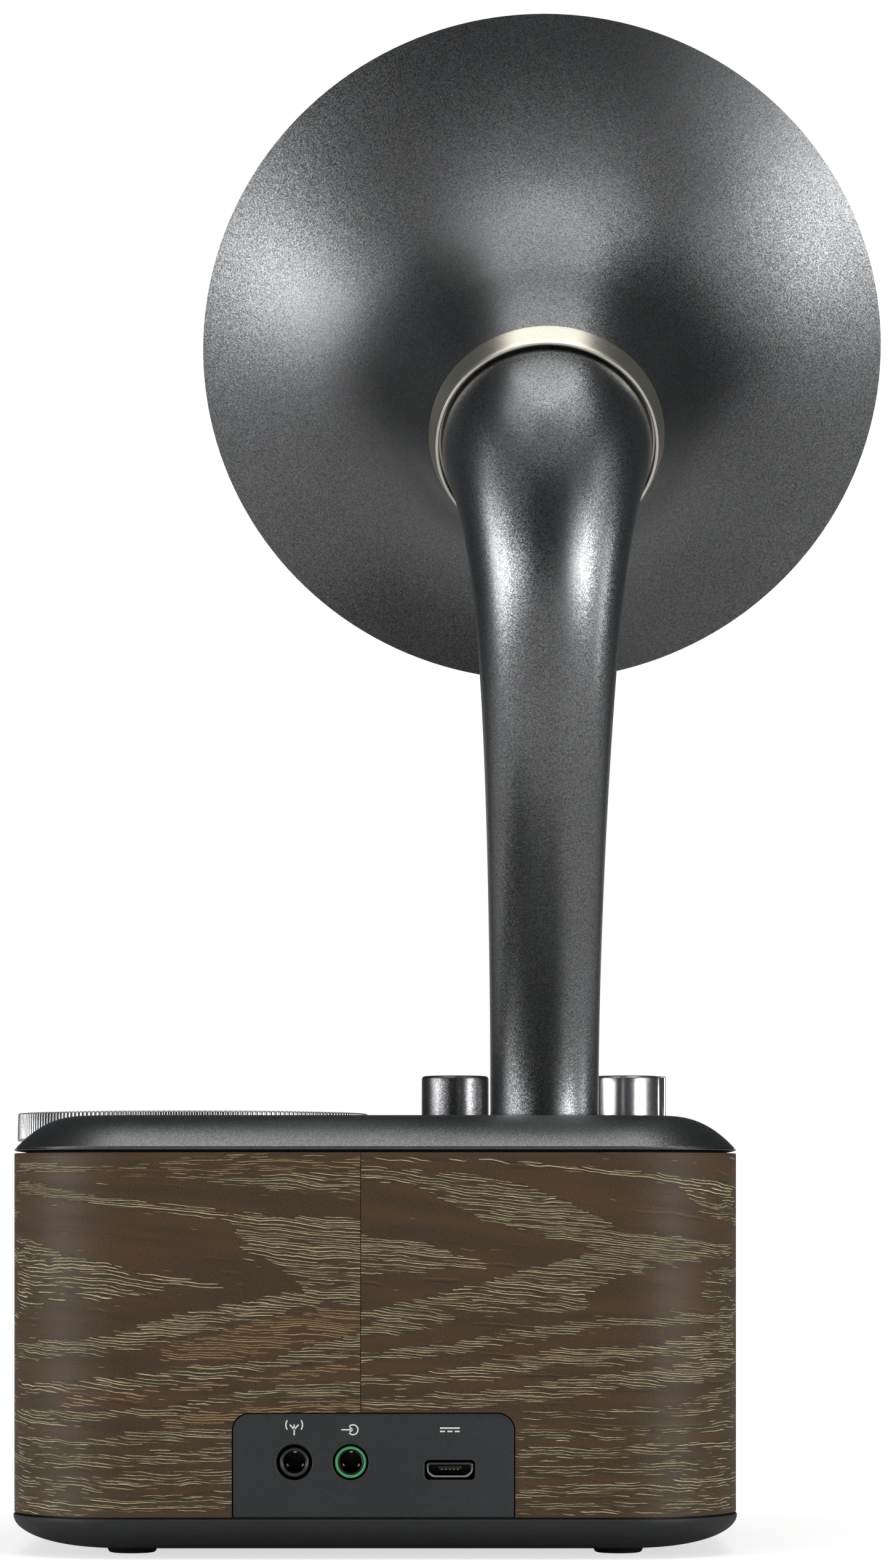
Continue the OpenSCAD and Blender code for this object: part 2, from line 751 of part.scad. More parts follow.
module volume_knob() { color([0.24, 0.24, 0.25]) knob(volume_x, volume_turn); }
module volume_index() { color("gainsboro") index_strip(volume_x, volume_turn); }
module volume_shaft() { color("silver") spindle(volume_x); }
module volume_pot() { color([0.5, 0.5, 0.48]) control_body(volume_x); }
module volume_nut() { color("silver") control_nut(volume_x); }
module mode_knob() { color([0.6, 0.6, 0.61]) knob(mode_x, mode_turn); }
module mode_index() { color("gainsboro") index_strip(mode_x, mode_turn); }
module mode_shaft() { color("silver") spindle(mode_x); }
module mode_selector() { color([0.5, 0.5, 0.48]) control_body(mode_x); }
module mode_nut() { color("silver") control_nut(mode_x); }

// ---------- sockets ----------

nose_y = half - 0.7;                // face of the 3.5 mm sockets
audio_nose_r = 2.1;
usb_w = 7.5;
usb_h = 2.43;
usb_wall = 0.3;

// box body with a round nose to the rear, bored from its face
module round_socket(x, nose_r) {
    body_w = 6;
    body_h = 5.8;
    nose_y0 = 54;
    translate([x, 0, jack_z]) difference() {
        union() {
            translate([-body_w / 2, 41, -body_h / 2]) cube([body_w, 13.9, body_h]);
            translate([0, nose_y0, 0]) rotate([-90, 0, 0])
                cylinder(r = nose_r, h = nose_y - nose_y0, $fn = 64);
        }
        translate([0, nose_y - jack_depth, 0]) rotate([-90, 0, 0])
            cylinder(r = jack_bore_r, h = jack_depth + 5, $fn = 64);
    }
}

module antenna_socket() { color([0.1, 0.1, 0.1]) round_socket(antenna_x, 2.42); }
module audio_socket() { color([0.1, 0.1, 0.1]) round_socket(audio_x, audio_nose_r); }

module audio_socket_collar() {
    y0 = 55;
    color("mediumseagreen") translate([audio_x, y0, jack_z]) rotate([-90, 0, 0]) difference() {
        cylinder(r = 2.6, h = nose_y + 0.1 - y0, $fn = 64);
        translate([0, 0, -1]) cylinder(r = audio_nose_r + 0.02, h = 10, $fn = 64);
    }
}

// wide at the top, with the lower corners cut
function usb_outline(inset) = let (
    x = usb_w / 2 - inset,
    z = usb_h / 2 - inset,
    cut_x = x - 0.9,
    cut_z = -z + 0.85 * 2 * z / usb_h)
    [[-x, z], [x, z], [x, cut_z], [cut_x, -z], [-cut_x, -z], [-x, cut_z]];

// that outline run forward from y by a length
module usb_bar(y, length, inset) {
    translate([0, y, 0]) rotate([90, 0, 0]) linear_extrude(length) polygon(usb_outline(inset));
}

module usb_shell() {
    color("silver") translate([usb_x, 0, usb_z]) difference() {
        usb_bar(59.3, 7.5, 0);
        usb_bar(65, 12.4, usb_wall);
    }
}

module usb_tongue() {
    w = 3.8;
    color([0.06, 0.06, 0.06]) translate([usb_x - w / 2, 52.65, usb_z + 0.1]) cube([w, 5.9, 0.6]);
}

module usb_contacts() {
    w = 0.32;
    pitch = 0.65;
    color("gold") for (i = [-2:2])
        translate([usb_x + i * pitch - w / 2, 53.6, usb_z]) cube([w, 4.8, 0.09]);
}

// ---------- electronics ----------

connector_h = 2.2;                  // ribbon cable's connector on the main board
lead_z = board_top + 0.05;          // lower ends of the leads on the main board

module main_board() {
    w = 82;
    notch_w = 4.4;
    color("darkgreen") difference() {
        translate([-w / 2, 5, board_z]) cube([w, 47.8, board_t]);
        at_board_screws() rod(1.35, board_z - 1, board_z + 3, $fn = 32);
        // room for the rear posts of the core and their webs
        for (x = sides)
            translate([x * foot_pos, foot_pos, board_z - 2]) cylinder(r = 5.2, h = 6, $fn = 32);
        for (x = sides)
            translate([x > 0 ? foot_pos : -60, foot_pos - notch_w / 2, board_z - 2])
                cube([60 - foot_pos, notch_w, 6]);
    }
}

// boxes on the main board: [[x, y], [width, depth, height]]
board_boxes = [
    [[-30, 22], [9, 9, 1.2]],
    [[26, 24], [7, 7, 1.1]],
    [[-12, 33], [5, 6, 1]],
    [[10, 8.4], [16, 3.2, connector_h]]];

module board_components() {
    color([0.15, 0.15, 0.16]) translate([0, 0, board_top]) {
        for (b = board_boxes) translate(b[0]) cube(b[1]);
        for (p = [[-33, 36], [-26, 36], [20, 33]]) translate(p) cylinder(r = 2.5, h = 7, $fn = 32);
        for (i = [0:5]) translate([-16 + 3 * i, 10]) cube([1.6, 0.8, 0.6]);
    }
}

module radio_module() {
    color("silver") translate([-4, 17, board_top]) cube([18, 14, 2.4]);
}

module board_screws() {
    color("silver") at_board_screws() translate([0, 0, board_top]) mirror([0, 0, 1])
        screw(2.2, 1.4, 1, 6.7);
}

// outline: [x, y]
control_outline = [[-51, -41.8], [42, -41.8], [46, 14], [18, 14], [18, -28], [-51, -28]];

module control_board() {
    color("darkgreen") translate([0, 0, ctrl_z]) linear_extrude(board_t) polygon(control_outline);
}

// flat cable from the control board down to its connector on the main board
module ribbon_cable() {
    z0 = board_top + connector_h + 0.05;
    z1 = ctrl_z - 0.05;
    color("lightgray") strip(18, 12, [
        [-30, z1], [-30, ctrl_z - 4], [8.9, 22], [8.9, z0],
        [9.7, z0], [9.7, 22.4], [-29.2, ctrl_z - 3.6], [-29.2, z1]]);
}

battery_y = -30;
battery_z = 16.6;
battery_r = 9.1;

// round bar along X on the battery's axis
module battery_bar(r, length) {
    translate([-length / 2, battery_y, battery_z]) rotate([0, 90, 0]) cylinder(r = r, h = length);
}

module battery_cell() {
    color("steelblue") battery_bar(battery_r, 65);
}

module battery_holder() {
    w = 70;
    depth = 23;
    color([0.1, 0.1, 0.1]) difference() {
        translate([-w / 2, battery_y - depth / 2, battery_rest_z + 0.05]) cube([w, depth, 11]);
        battery_bar(battery_r + 0.15, 65.8);
    }
}

module battery_leads() {
    outline = [[-29, 14.4], [-29, 21], [14, 21], [14, lead_z],
               [13, lead_z], [13, 20], [-28, 20], [-28, 14.4]];
    color("red") strip(-36.2, 1.2, outline);
    color("black") strip(36.2, 1.2, outline);
}

// ---------- driver and throat ----------
// the driver fires upwards; sections are [radius, height]

flange_z0 = 46.4;
flange_z1 = 47.6;
gasket_z1 = flange_z1 + 0.8;
basket_z0 = 36.2;                   // underside of the basket, on the magnet
magnet_z0 = 28.6;
coil_r = 6.05;
driver_hole_r = 1.6;

module throat_adaptor() {
    tube_r = mount_r + 0.05;
    color([0.15, 0.15, 0.15]) at_horn() difference() {
        rotate_extrude() polygon([
            [tube_r, 66.2], [10, 66.2], [10, 60], [19.5, 51], [driver_r, 50],
            [driver_r, gasket_z1], [17.6, gasket_z1], [17.4, 50.2],
            [6.6, 59.9], [6.6, 61.9], [tube_r, 61.9]]);
        at_driver_screws() rod(driver_hole_r, 40, 60, $fn = 32);
        at_driver_screws() rod(3.2, 50, 60, $fn = 32);
    }
}

module driver_gasket() {
    cut_z0 = flange_z1 - 1;
    cut_z1 = flange_z1 + 2;
    color("black") at_horn() difference() {
        rod(driver_r, flange_z1, gasket_z1);
        rod(19, cut_z0, cut_z1);
        at_driver_screws() rod(driver_hole_r, cut_z0, cut_z1, $fn = 32);
    }
}

module driver_basket() {
    floor_z = basket_z0 + 1.2;
    window_w = 10;
    color([0.2, 0.2, 0.2]) at_horn() difference() {
        rotate_extrude() polygon([
            [driver_r, flange_z1], [driver_r, flange_z0], [19.8, flange_z0],
            [15.5, basket_z0], [8, basket_z0], [8, floor_z], [14.6, floor_z],
            [18.3, flange_z0], [18.3, flange_z1]]);
        at_driver_screws() rod(driver_hole_r, 40, 50, $fn = 32);
        // windows of the basket
        for (a = [0:90:270]) rotate(a) translate([0, -window_w / 2, 38.6]) cube([22, window_w, 6]);
    }
}

module driver_magnet() {
    color([0.13, 0.13, 0.13]) at_horn() difference() {
        rod(magnet_r, magnet_z0, basket_z0);
        rod(7.6, magnet_z0 - 1, magnet_z0 + 9);
    }
}

// back plate with the pole piece standing on it
module driver_back_plate() {
    color("silver") at_horn() {
        rod(magnet_r - 0.5, magnet_z0 - 2.2, magnet_z0);
        rod(5.4, magnet_z0 - 0.1, 37.4, $fn = 64);
    }
}

module driver_cone() {
    color([0.25, 0.25, 0.25]) at_horn() rotate_extrude() polygon([
        [6.1, 40], [6.8, 40], [cone_r, 45.6], [cone_r, 46.1], [6.1, 40.6]]);
}

module dust_cap() {
    steps = 8;
    color([0.1, 0.1, 0.1]) at_horn() rotate_extrude() polygon(concat(
        [[0, 40.65], [6.05, 40.65]],
        [for (i = [0:steps]) let (a = 10 + 80 * i / steps) [6.1 * cos(a), 40.7 + 2.2 * sin(a)]]));
}

module voice_coil() {
    color("orange") at_horn() difference() {
        rod(coil_r, 31.5, 40.6, $fn = 64);
        rod(coil_r - 0.35, 30.5, 41.5, $fn = 64);
    }
}

module driver_surround() {
    steps = 8;
    color("black") at_horn() rotate_extrude() polygon(concat(
        [[18.2, 46.6], [18.2, 47.1]],
        [for (i = [0:steps]) let (a = 180 * i / steps) [17.45 + 0.7 * cos(a), 47.1 + 0.5 * sin(a)]],
        [[16.7, 46.6]]));
}

module driver_screws() {
    color("silver") at_horn() at_driver_screws() translate([0, 0, flange_z0])
        screw(1.75, 1.6, 1.25, 12);
}

module driver_leads() {
    outline = [[3, 40.4], [3, 39.4], [11.2, 39.4], [11.2, lead_z], [12, lead_z], [12, 40.4]];
    color("red") strip(horn_x + 17.2, 0.9, outline);
    color("black") strip(horn_x + 20.4, 0.9, outline);
}

horn_bell();
collar_ring();
horn_neck();
neck_seal();
neck_mount();
neck_nut();
lid();
lid_seal();
dial_index();
lid_screws();
veneer_wrap();
cabinet_core();
socket_plate();
socket_plate_screws();
bottom_tray();
rubber_feet();
tray_screws();
tuning_dial();
dial_face();
tuning_shaft();
tuning_capacitor();
volume_knob();
volume_index();
volume_shaft();
volume_pot();
volume_nut();
mode_knob();
mode_index();
mode_shaft();
mode_selector();
mode_nut();
antenna_socket();
audio_socket();
audio_socket_collar();
usb_shell();
usb_tongue();
usb_contacts();
main_board();
board_components();
radio_module();
board_screws();
control_board();
ribbon_cable();
battery_cell();
battery_holder();
battery_leads();
throat_adaptor();
driver_gasket();
driver_basket();
driver_magnet();
driver_back_plate();
driver_cone();
dust_cap();
voice_coil();
driver_surround();
driver_screws();
driver_leads();
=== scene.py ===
import json
import math
import bpy
import bmesh
import numpy as np
from mathutils import Vector, Matrix, noise


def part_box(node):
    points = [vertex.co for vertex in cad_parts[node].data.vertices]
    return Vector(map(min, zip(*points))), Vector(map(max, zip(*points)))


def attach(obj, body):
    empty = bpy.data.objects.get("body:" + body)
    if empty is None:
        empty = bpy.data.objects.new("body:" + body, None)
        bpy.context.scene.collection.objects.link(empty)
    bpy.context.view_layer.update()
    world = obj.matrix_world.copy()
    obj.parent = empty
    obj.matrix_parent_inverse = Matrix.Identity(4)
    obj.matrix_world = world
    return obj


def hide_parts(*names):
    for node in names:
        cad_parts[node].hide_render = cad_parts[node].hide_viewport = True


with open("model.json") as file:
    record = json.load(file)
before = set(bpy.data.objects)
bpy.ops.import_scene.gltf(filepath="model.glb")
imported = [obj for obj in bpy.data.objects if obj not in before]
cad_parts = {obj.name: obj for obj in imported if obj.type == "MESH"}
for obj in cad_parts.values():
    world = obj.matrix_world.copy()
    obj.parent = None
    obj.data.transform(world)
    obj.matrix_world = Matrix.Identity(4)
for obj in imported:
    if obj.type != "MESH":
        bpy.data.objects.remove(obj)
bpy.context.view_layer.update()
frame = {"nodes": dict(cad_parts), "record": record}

scene = bpy.context.scene
PI = math.pi

# ------------------------------------------------------------------ places, in millimetres, all from the frame

def mmbox(node):
    lo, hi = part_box(node)
    return [c * 1000 for c in lo], [c * 1000 for c in hi]

neck_lo, neck_hi = mmbox("horn_neck")
lid_lo, lid_hi = mmbox("lid")
wood_lo, wood_hi = mmbox("veneer_wrap")
tray_lo, tray_hi = mmbox("bottom_tray")
foot_lo, foot_hi = mmbox("rubber_feet")
dial_lo, dial_hi = mmbox("tuning_dial")
dface_lo, dface_hi = mmbox("dial_face")
vol_lo, vol_hi = mmbox("volume_knob")
mode_lo, mode_hi = mmbox("mode_knob")
plate_lo, plate_hi = mmbox("socket_plate")
ant_lo, ant_hi = mmbox("antenna_socket")
aud_lo, aud_hi = mmbox("audio_socket")
green_lo, green_hi = mmbox("audio_socket_collar")
usb_lo, usb_hi = mmbox("usb_shell")
seal_lo, seal_hi = mmbox("lid_seal")
mark_lo, mark_hi = mmbox("dial_index")

horn_x = (neck_lo[0] + neck_hi[0]) / 2
lid_z0, lid_z1 = seal_hi[2], lid_hi[2]
half = wood_hi[0]
corner_r = 20.0
foot_y, foot_z = 0.0, lid_z1
dial_x = (dial_lo[0] + dial_hi[0]) / 2
dial_y = (dial_lo[1] + dial_hi[1]) / 2
dial_r = (dial_hi[1] - dial_lo[1]) / 2
dial_z0, dial_z1 = dial_lo[2], dial_hi[2]

# ------------------------------------------------------------------ mesh helpers

def link(obj):
    scene.collection.objects.link(obj)
    return obj

def build(name, verts, faces, sharp=38, smooth=True):
    """mesh object from points in millimetres"""
    me = bpy.data.meshes.new(name)
    me.from_pydata([(x * 0.001, y * 0.001, z * 0.001) for x, y, z in verts], [], faces)
    me.validate()
    bm = bmesh.new()
    bm.from_mesh(me)
    bmesh.ops.recalc_face_normals(bm, faces=bm.faces)
    bm.to_mesh(me)
    bm.free()
    me.update()
    obj = link(bpy.data.objects.new(name, me))
    finish_shading(me, sharp, smooth)
    return obj

def finish_shading(me, sharp=38, smooth=True):
    for p in me.polygons:
        p.use_smooth = smooth
    if smooth and sharp < 180:
        me.set_sharp_from_angle(angle=math.radians(sharp))

def settle(obj):
    """applies every modifier to the mesh"""
    dg = bpy.context.evaluated_depsgraph_get()
    me = bpy.data.meshes.new_from_object(obj.evaluated_get(dg), depsgraph=dg)
    obj.modifiers.clear()
    old = obj.data
    obj.data = me
    bpy.data.meshes.remove(old)
    return obj

def drop(obj):
    data = obj.data
    bpy.data.objects.remove(obj)
    if isinstance(data, bpy.types.Mesh):
        bpy.data.meshes.remove(data)

def cut(obj, tools, op="DIFFERENCE", sharp=38):
    for t in tools:
        m = obj.modifiers.new("cut", "BOOLEAN")
        m.operation = op
        m.solver = "EXACT"
        m.object = t
        settle(obj)
        drop(t)
    finish_shading(obj.data, sharp)
    return obj

def bevel(obj, width, segments=3, angle=35, sharp=38):
    m = obj.modifiers.new("bevel", "BEVEL")
    m.width = width * 0.001
    m.segments = segments
    m.limit_method = "ANGLE"
    m.angle_limit = math.radians(angle)
    m.use_clamp_overlap = True
    settle(obj)
    finish_shading(obj.data, sharp)
    return obj

def join(name, objs):
    bm = bmesh.new()
    for o in objs:
        o.data.transform(o.matrix_world)
        bm.from_mesh(o.data)
    me = bpy.data.meshes.new(name)
    bm.to_mesh(me)
    bm.free()
    for o in objs:
        drop(o)
    return link(bpy.data.objects.new(name, me))

def lathe(name, profile, at=(0, 0, 0), axis="Z", seg=128, closed=True, matrix=None, sharp=38, wobble=None):
    """profile of (radius, height) turned about an axis; a radius of 0 closes to a point"""
    verts, rows = [], []
    for r, h in profile:
        if r < 1e-6:
            rows.append([len(verts)])
            verts.append((0.0, 0.0, h))
        else:
            row = []
            for j in range(seg):
                a = 2 * PI * j / seg
                rr = r if wobble is None else wobble(r, h, a)
                row.append(len(verts))
                verts.append((rr * math.cos(a), rr * math.sin(a), h))
            rows.append(row)
    faces = []
    n = len(rows)
    for i in range(n if closed else n - 1):
        a, b = rows[i], rows[(i + 1) % n]
        if len(a) == 1 and len(b) == 1:
            continue
        for j in range(seg):
            k = (j + 1) % seg
            if len(a) == 1:
                faces.append((a[0], b[k], b[j]))
            elif len(b) == 1:
                faces.append((a[j], a[k], b[0]))
            else:
                faces.append((a[j], a[k], b[k], b[j]))
    if matrix is None:
        turn = {"Z": Matrix.Identity(3), "Y": Matrix(((1, 0, 0), (0, 0, 1), (0, -1, 0))),
                "X": Matrix(((0, 0, 1), (0, 1, 0), (-1, 0, 0)))}[axis]
    else:
        turn = matrix
    o = Vector(at)
    verts = [tuple(turn @ Vector(v) + o) for v in verts]
    return build(name, verts, faces, sharp)

def arc(cx, cy, r, a0, a1, n):
    return [(cx + r * math.cos(math.radians(a0 + (a1 - a0) * i / n)), cy + r * math.sin(math.radians(a0 + (a1 - a0) * i / n)))
            for i in range(n + 1)]

def outline(side, rho, n=20, straight=1):
    """rounded square, counter-clockwise, its corner centres at +-side/2 and corner radius rho"""
    pts = []
    s = side / 2
    for q in range(4):
        for i in range(n + 1):
            a = math.radians(90 * q + 90 * i / n)
            cx = s if q in (0, 3) else -s
            cy = s if q in (0, 1) else -s
            pts.append((cx + rho * math.cos(a), cy + rho * math.sin(a)))
        nxt = (q + 1) % 4
        ax, ay = pts[-1]
        cx = s if nxt in (0, 3) else -s
        cy = s if nxt in (0, 1) else -s
        bx = cx + rho * math.cos(math.radians(90 * nxt))
        by = cy + rho * math.sin(math.radians(90 * nxt))
        for k in range(1, straight):
            t = k / straight
            pts.append((ax + (bx - ax) * t, ay + (by - ay) * t))
    return pts

def loft(name, side, section, n=20, straight=8, sharp=38, cap_first=True, cap_last=True):
    """rounded-square rings for each (rho, z) of a section, capped at both ends"""
    verts, rows = [], []
    for rho, z in section:
        row = []
        for x, y in outline(side, rho, n, straight):
            row.append(len(verts))
            verts.append((x, y, z))
        rows.append(row)
    faces = []
    m = len(rows[0])
    for a, b in zip(rows, rows[1:]):
        for j in range(m):
            k = (j + 1) % m
            faces.append((a[j], a[k], b[k], b[j]))
    if cap_first:
        faces.append(tuple(reversed(rows[0])))
    if cap_last:
        faces.append(tuple(rows[-1]))
    return build(name, verts, faces, sharp)

def block(name, lo, hi, edge=0.0, segments=3):
    x0, y0, z0 = lo
    x1, y1, z1 = hi
    v = [(x0, y0, z0), (x1, y0, z0), (x1, y1, z0), (x0, y1, z0), (x0, y0, z1), (x1, y0, z1), (x1, y1, z1), (x0, y1, z1)]
    f = [(0, 3, 2, 1), (4, 5, 6, 7), (0, 1, 5, 4), (1, 2, 6, 5), (2, 3, 7, 6), (3, 0, 4, 7)]
    o = build(name, v, f)
    if edge:
        bevel(o, edge, segments)
    return o

def prism(name, pts, y0, y1, edge=0.0, segments=2):
    """outline in X and Z, extruded from y0 to y1"""
    n = len(pts)
    v = [(x, y0, z) for x, z in pts] + [(x, y1, z) for x, z in pts]
    f = [tuple(range(n)), tuple(reversed(range(n, 2 * n)))] + [(i, i + n, (i + 1) % n + n, (i + 1) % n) for i in range(n)]
    o = build(name, v, f)
    if edge:
        bevel(o, edge, segments)
    return o

def piece(obj, body, slot, mat, *nodes):
    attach(obj, body)
    if nodes:
        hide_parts(*nodes)
    obj.data.materials.clear()
    obj.data.materials.append(mat)
    return obj

# ------------------------------------------------------------------ material helpers

class Nodes:
    def __init__(self, name):
        self.mat = bpy.data.materials.new(name)
        self.mat.use_nodes = True
        self.t = self.mat.node_tree
        self.t.nodes.clear()
        self.out = self.t.nodes.new("ShaderNodeOutputMaterial")
        self.bsdf = self.t.nodes.new("ShaderNodeBsdfPrincipled")
        self.t.links.new(self.bsdf.outputs[0], self.out.inputs[0])

    def put(self, socket, value):
        if value is None:
            return
        if isinstance(value, bpy.types.NodeSocket):
            self.t.links.new(value, socket)
        else:
            if socket.type == "RGBA" and not hasattr(value, "__len__"):
                value = (value, value, value, 1)
            if socket.type == "RGBA" and len(value) == 3:
                value = (*value, 1)
            if socket.type == "VECTOR" and not hasattr(value, "__len__"):
                value = (value,) * 3
            socket.default_value = value

    def node(self, kind, ins=None, **props):
        n = self.t.nodes.new(kind)
        for k, v in props.items():
            setattr(n, k, v)
        for k, v in (ins or {}).items():
            self.put(n.inputs[k], v)
        return n

    def math(self, op, a, b=None, c=None, clamp=False):
        n = self.node("ShaderNodeMath", operation=op, use_clamp=clamp)
        for i, v in enumerate((a, b, c)):
            self.put(n.inputs[i], v)
        return n.outputs[0]

    def vmath(self, op, a, b=None, scale=None):
        n = self.node("ShaderNodeVectorMath", operation=op)
        self.put(n.inputs[0], a)
        if b is not None:
            self.put(n.inputs[1], b)
        if scale is not None:
            self.put(n.inputs["Scale"], scale)
        return n.outputs["Value"] if op in ("LENGTH", "DOT_PRODUCT", "DISTANCE") else n.outputs[0]

    def scale(self, vec, x, y=None, z=None):
        y = x if y is None else y
        z = x if z is None else z
        return self.vmath("MULTIPLY", vec, (x, y, z))

    def xyz(self, vec):
        n = self.node("ShaderNodeSeparateXYZ", {0: vec})
        return n.outputs[0], n.outputs[1], n.outputs[2]

    def vec(self, x, y, z=0.0):
        return self.node("ShaderNodeCombineXYZ", {0: x, 1: y, 2: z}).outputs[0]

    def noise(self, vec, scale=1.0, detail=2.0, rough=0.5, distortion=0.0, color=False):
        n = self.node("ShaderNodeTexNoise", {"Vector": vec, "Scale": scale, "Detail": detail, "Roughness": rough, "Distortion": distortion})
        return n.outputs["Color"] if color else n.outputs["Fac"]

    def voronoi(self, vec, scale=1.0, feature="F1", output="Color", randomness=1.0):
        n = self.node("ShaderNodeTexVoronoi", {"Vector": vec, "Scale": scale, "Randomness": randomness}, feature=feature)
        return n.outputs[output]

    def step(self, value, lo, hi, a=0.0, b=1.0, smooth=True):
        n = self.node("ShaderNodeMapRange", {"Value": value, "From Min": lo, "From Max": hi, "To Min": a, "To Max": b})
        n.interpolation_type = "SMOOTHSTEP" if smooth else "LINEAR"
        n.clamp = True
        return n.outputs[0]

    def mix(self, fac, a, b, blend="MIX"):
        n = self.node("ShaderNodeMix", data_type="RGBA", blend_type=blend, clamp_factor=True)
        self.put(n.inputs[0], fac)
        self.put(n.inputs[6], a)
        self.put(n.inputs[7], b)
        return n.outputs[2]

    def fmix(self, fac, a, b):
        n = self.node("ShaderNodeMix", data_type="FLOAT", clamp_factor=True)
        self.put(n.inputs[0], fac)
        self.put(n.inputs[2], a)
        self.put(n.inputs[3], b)
        return n.outputs[0]

    def pos(self):
        return self.node("ShaderNodeTexCoord").outputs["Object"]

    def bump(self, height, distance, strength=1.0, normal=None):
        n = self.node("ShaderNodeBump", {"Height": height, "Distance": distance, "Strength": strength, "Normal": normal})
        return n.outputs[0]

    def facet(self, vec, cell, amount, extra=None):
        """normal tipped at random in cells of the given size, in metres, like flakes in paint"""
        col = self.voronoi(vec, 1.0 / cell)
        off = self.vmath("SUBTRACT", col, (0.5, 0.5, 0.5))
        off = self.vmath("SCALE", off, scale=amount)
        base = extra if extra is not None else self.node("ShaderNodeNewGeometry").outputs["Normal"]
        return self.vmath("NORMALIZE", self.vmath("ADD", base, off)), col

    def done(self, color=None, metallic=None, rough=None, normal=None, **more):
        b = self.bsdf
        self.put(b.inputs["Base Color"], color)
        if metallic is not None:
            self.put(b.inputs["Metallic"], metallic)
        if rough is not None:
            self.put(b.inputs["Roughness"], rough)
        if normal is not None:
            self.put(b.inputs["Normal"], normal)
        for k, v in more.items():
            self.put(b.inputs[k.replace("_", " ")], v)
        return self.mat

def lin(r, g, b):
    """8-bit display colour to linear"""
    return tuple((c / 255 / 12.92) if c / 255 <= 0.04045 else ((c / 255 + 0.055) / 1.055) ** 2.4 for c in (r, g, b))

# ------------------------------------------------------------------ materials

def flake_metal(name, base, rough, cell=0.00013, tip=0.12, spread=0.42, metallic=1.0, coat=0.0):
    """dark metallic paint: fine flakes, each with its own tilt and brightness, under a satin face"""
    n = Nodes(name)
    p = n.pos()
    normal, col = n.facet(p, cell, tip)
    r, g, b = n.xyz(col)
    lum = n.step(r, 0, 1, 1 - spread, 1 + spread, smooth=False)
    broad = n.step(n.noise(p, 38, 3), 0.35, 0.65, 0.95, 1.05)
    k = n.math("MULTIPLY", lum, broad)
    color = n.vmath("SCALE", base, scale=k)
    fine = n.noise(p, 5200, 2)
    rr = n.math("MULTIPLY_ADD", n.math("SUBTRACT", fine, 0.5), 0.12, rough)
    rr = n.math("MULTIPLY_ADD", n.math("SUBTRACT", n.noise(p, 60, 3), 0.5), 0.05, rr)
    nb = n.bump(n.noise(p, 900, 3), 0.000006, 1.0, normal)
    mat = n.done(color, metallic, rr, nb)
    if coat:
        n.put(n.bsdf.inputs["Coat Weight"], coat)
        n.put(n.bsdf.inputs["Coat Roughness"], 0.25)
    return mat

def satin_metal(name, base, rough, grain=2600, amount=0.05, scratch=0.03, metallic=1.0):
    """fine bead-blasted or brushed metal with slight tone change"""
    n = Nodes(name)
    p = n.pos()
    f = n.noise(p, grain, 2)
    tone = n.step(n.noise(p, 90, 3), 0.3, 0.7, 1 - amount, 1 + amount)
    color = n.vmath("SCALE", base, scale=n.math("MULTIPLY", tone, n.step(f, 0.3, 0.7, 1 - amount, 1 + amount)))
    rr = n.math("MULTIPLY_ADD", n.math("SUBTRACT", f, 0.5), 0.10, rough)
    nb = n.bump(f, 0.000004, 1.0)
    return n.done(color, metallic, rr, nb)

def brushed_round(name, base, rough, centre, metallic=1.0, lines=420.0):
    """turned face: fine rings about a vertical axis"""
    n = Nodes(name)
    p = n.vmath("SUBTRACT", n.pos(), centre)
    x, y, z = n.xyz(p)
    rad = n.math("SQRT", n.math("ADD", n.math("MULTIPLY", x, x), n.math("MULTIPLY", y, y)))
    ang = n.math("ARCTAN2", y, x)
    ring = n.noise(n.vec(n.math("MULTIPLY", rad, 9000), n.math("MULTIPLY", ang, 1.2), n.math("MULTIPLY", z, 6000)), 1.0, 3)
    color = n.vmath("SCALE", base, scale=n.step(ring, 0.25, 0.75, 0.86, 1.12))
    rr = n.math("MULTIPLY_ADD", n.math("SUBTRACT", ring, 0.5), 0.18, rough)
    nb = n.bump(ring, 0.000008, 1.0)
    return n.done(color, metallic, rr, nb)

def moulded(name, base, rough, cell=1600, depth=0.00001, spread=0.10, spec=0.5, metallic=0.0, wear=0.0):
    """spark-eroded moulded plastic: fine even texture, slight tone change"""
    n = Nodes(name)
    p = n.pos()
    f = n.noise(p, cell, 2)
    broad = n.noise(p, 45, 3)
    tone = n.math("MULTIPLY", n.step(f, 0.3, 0.7, 1 - spread, 1 + spread), n.step(broad, 0.3, 0.7, 0.95, 1.05))
    color = n.vmath("SCALE", base, scale=tone)
    rr = n.math("MULTIPLY_ADD", n.math("SUBTRACT", broad, 0.5), 0.10, rough)
    nb = n.bump(f, depth, 1.0)
    mat = n.done(color, metallic, rr, nb)
    n.put(n.bsdf.inputs["Specular IOR Level"], spec)
    return mat

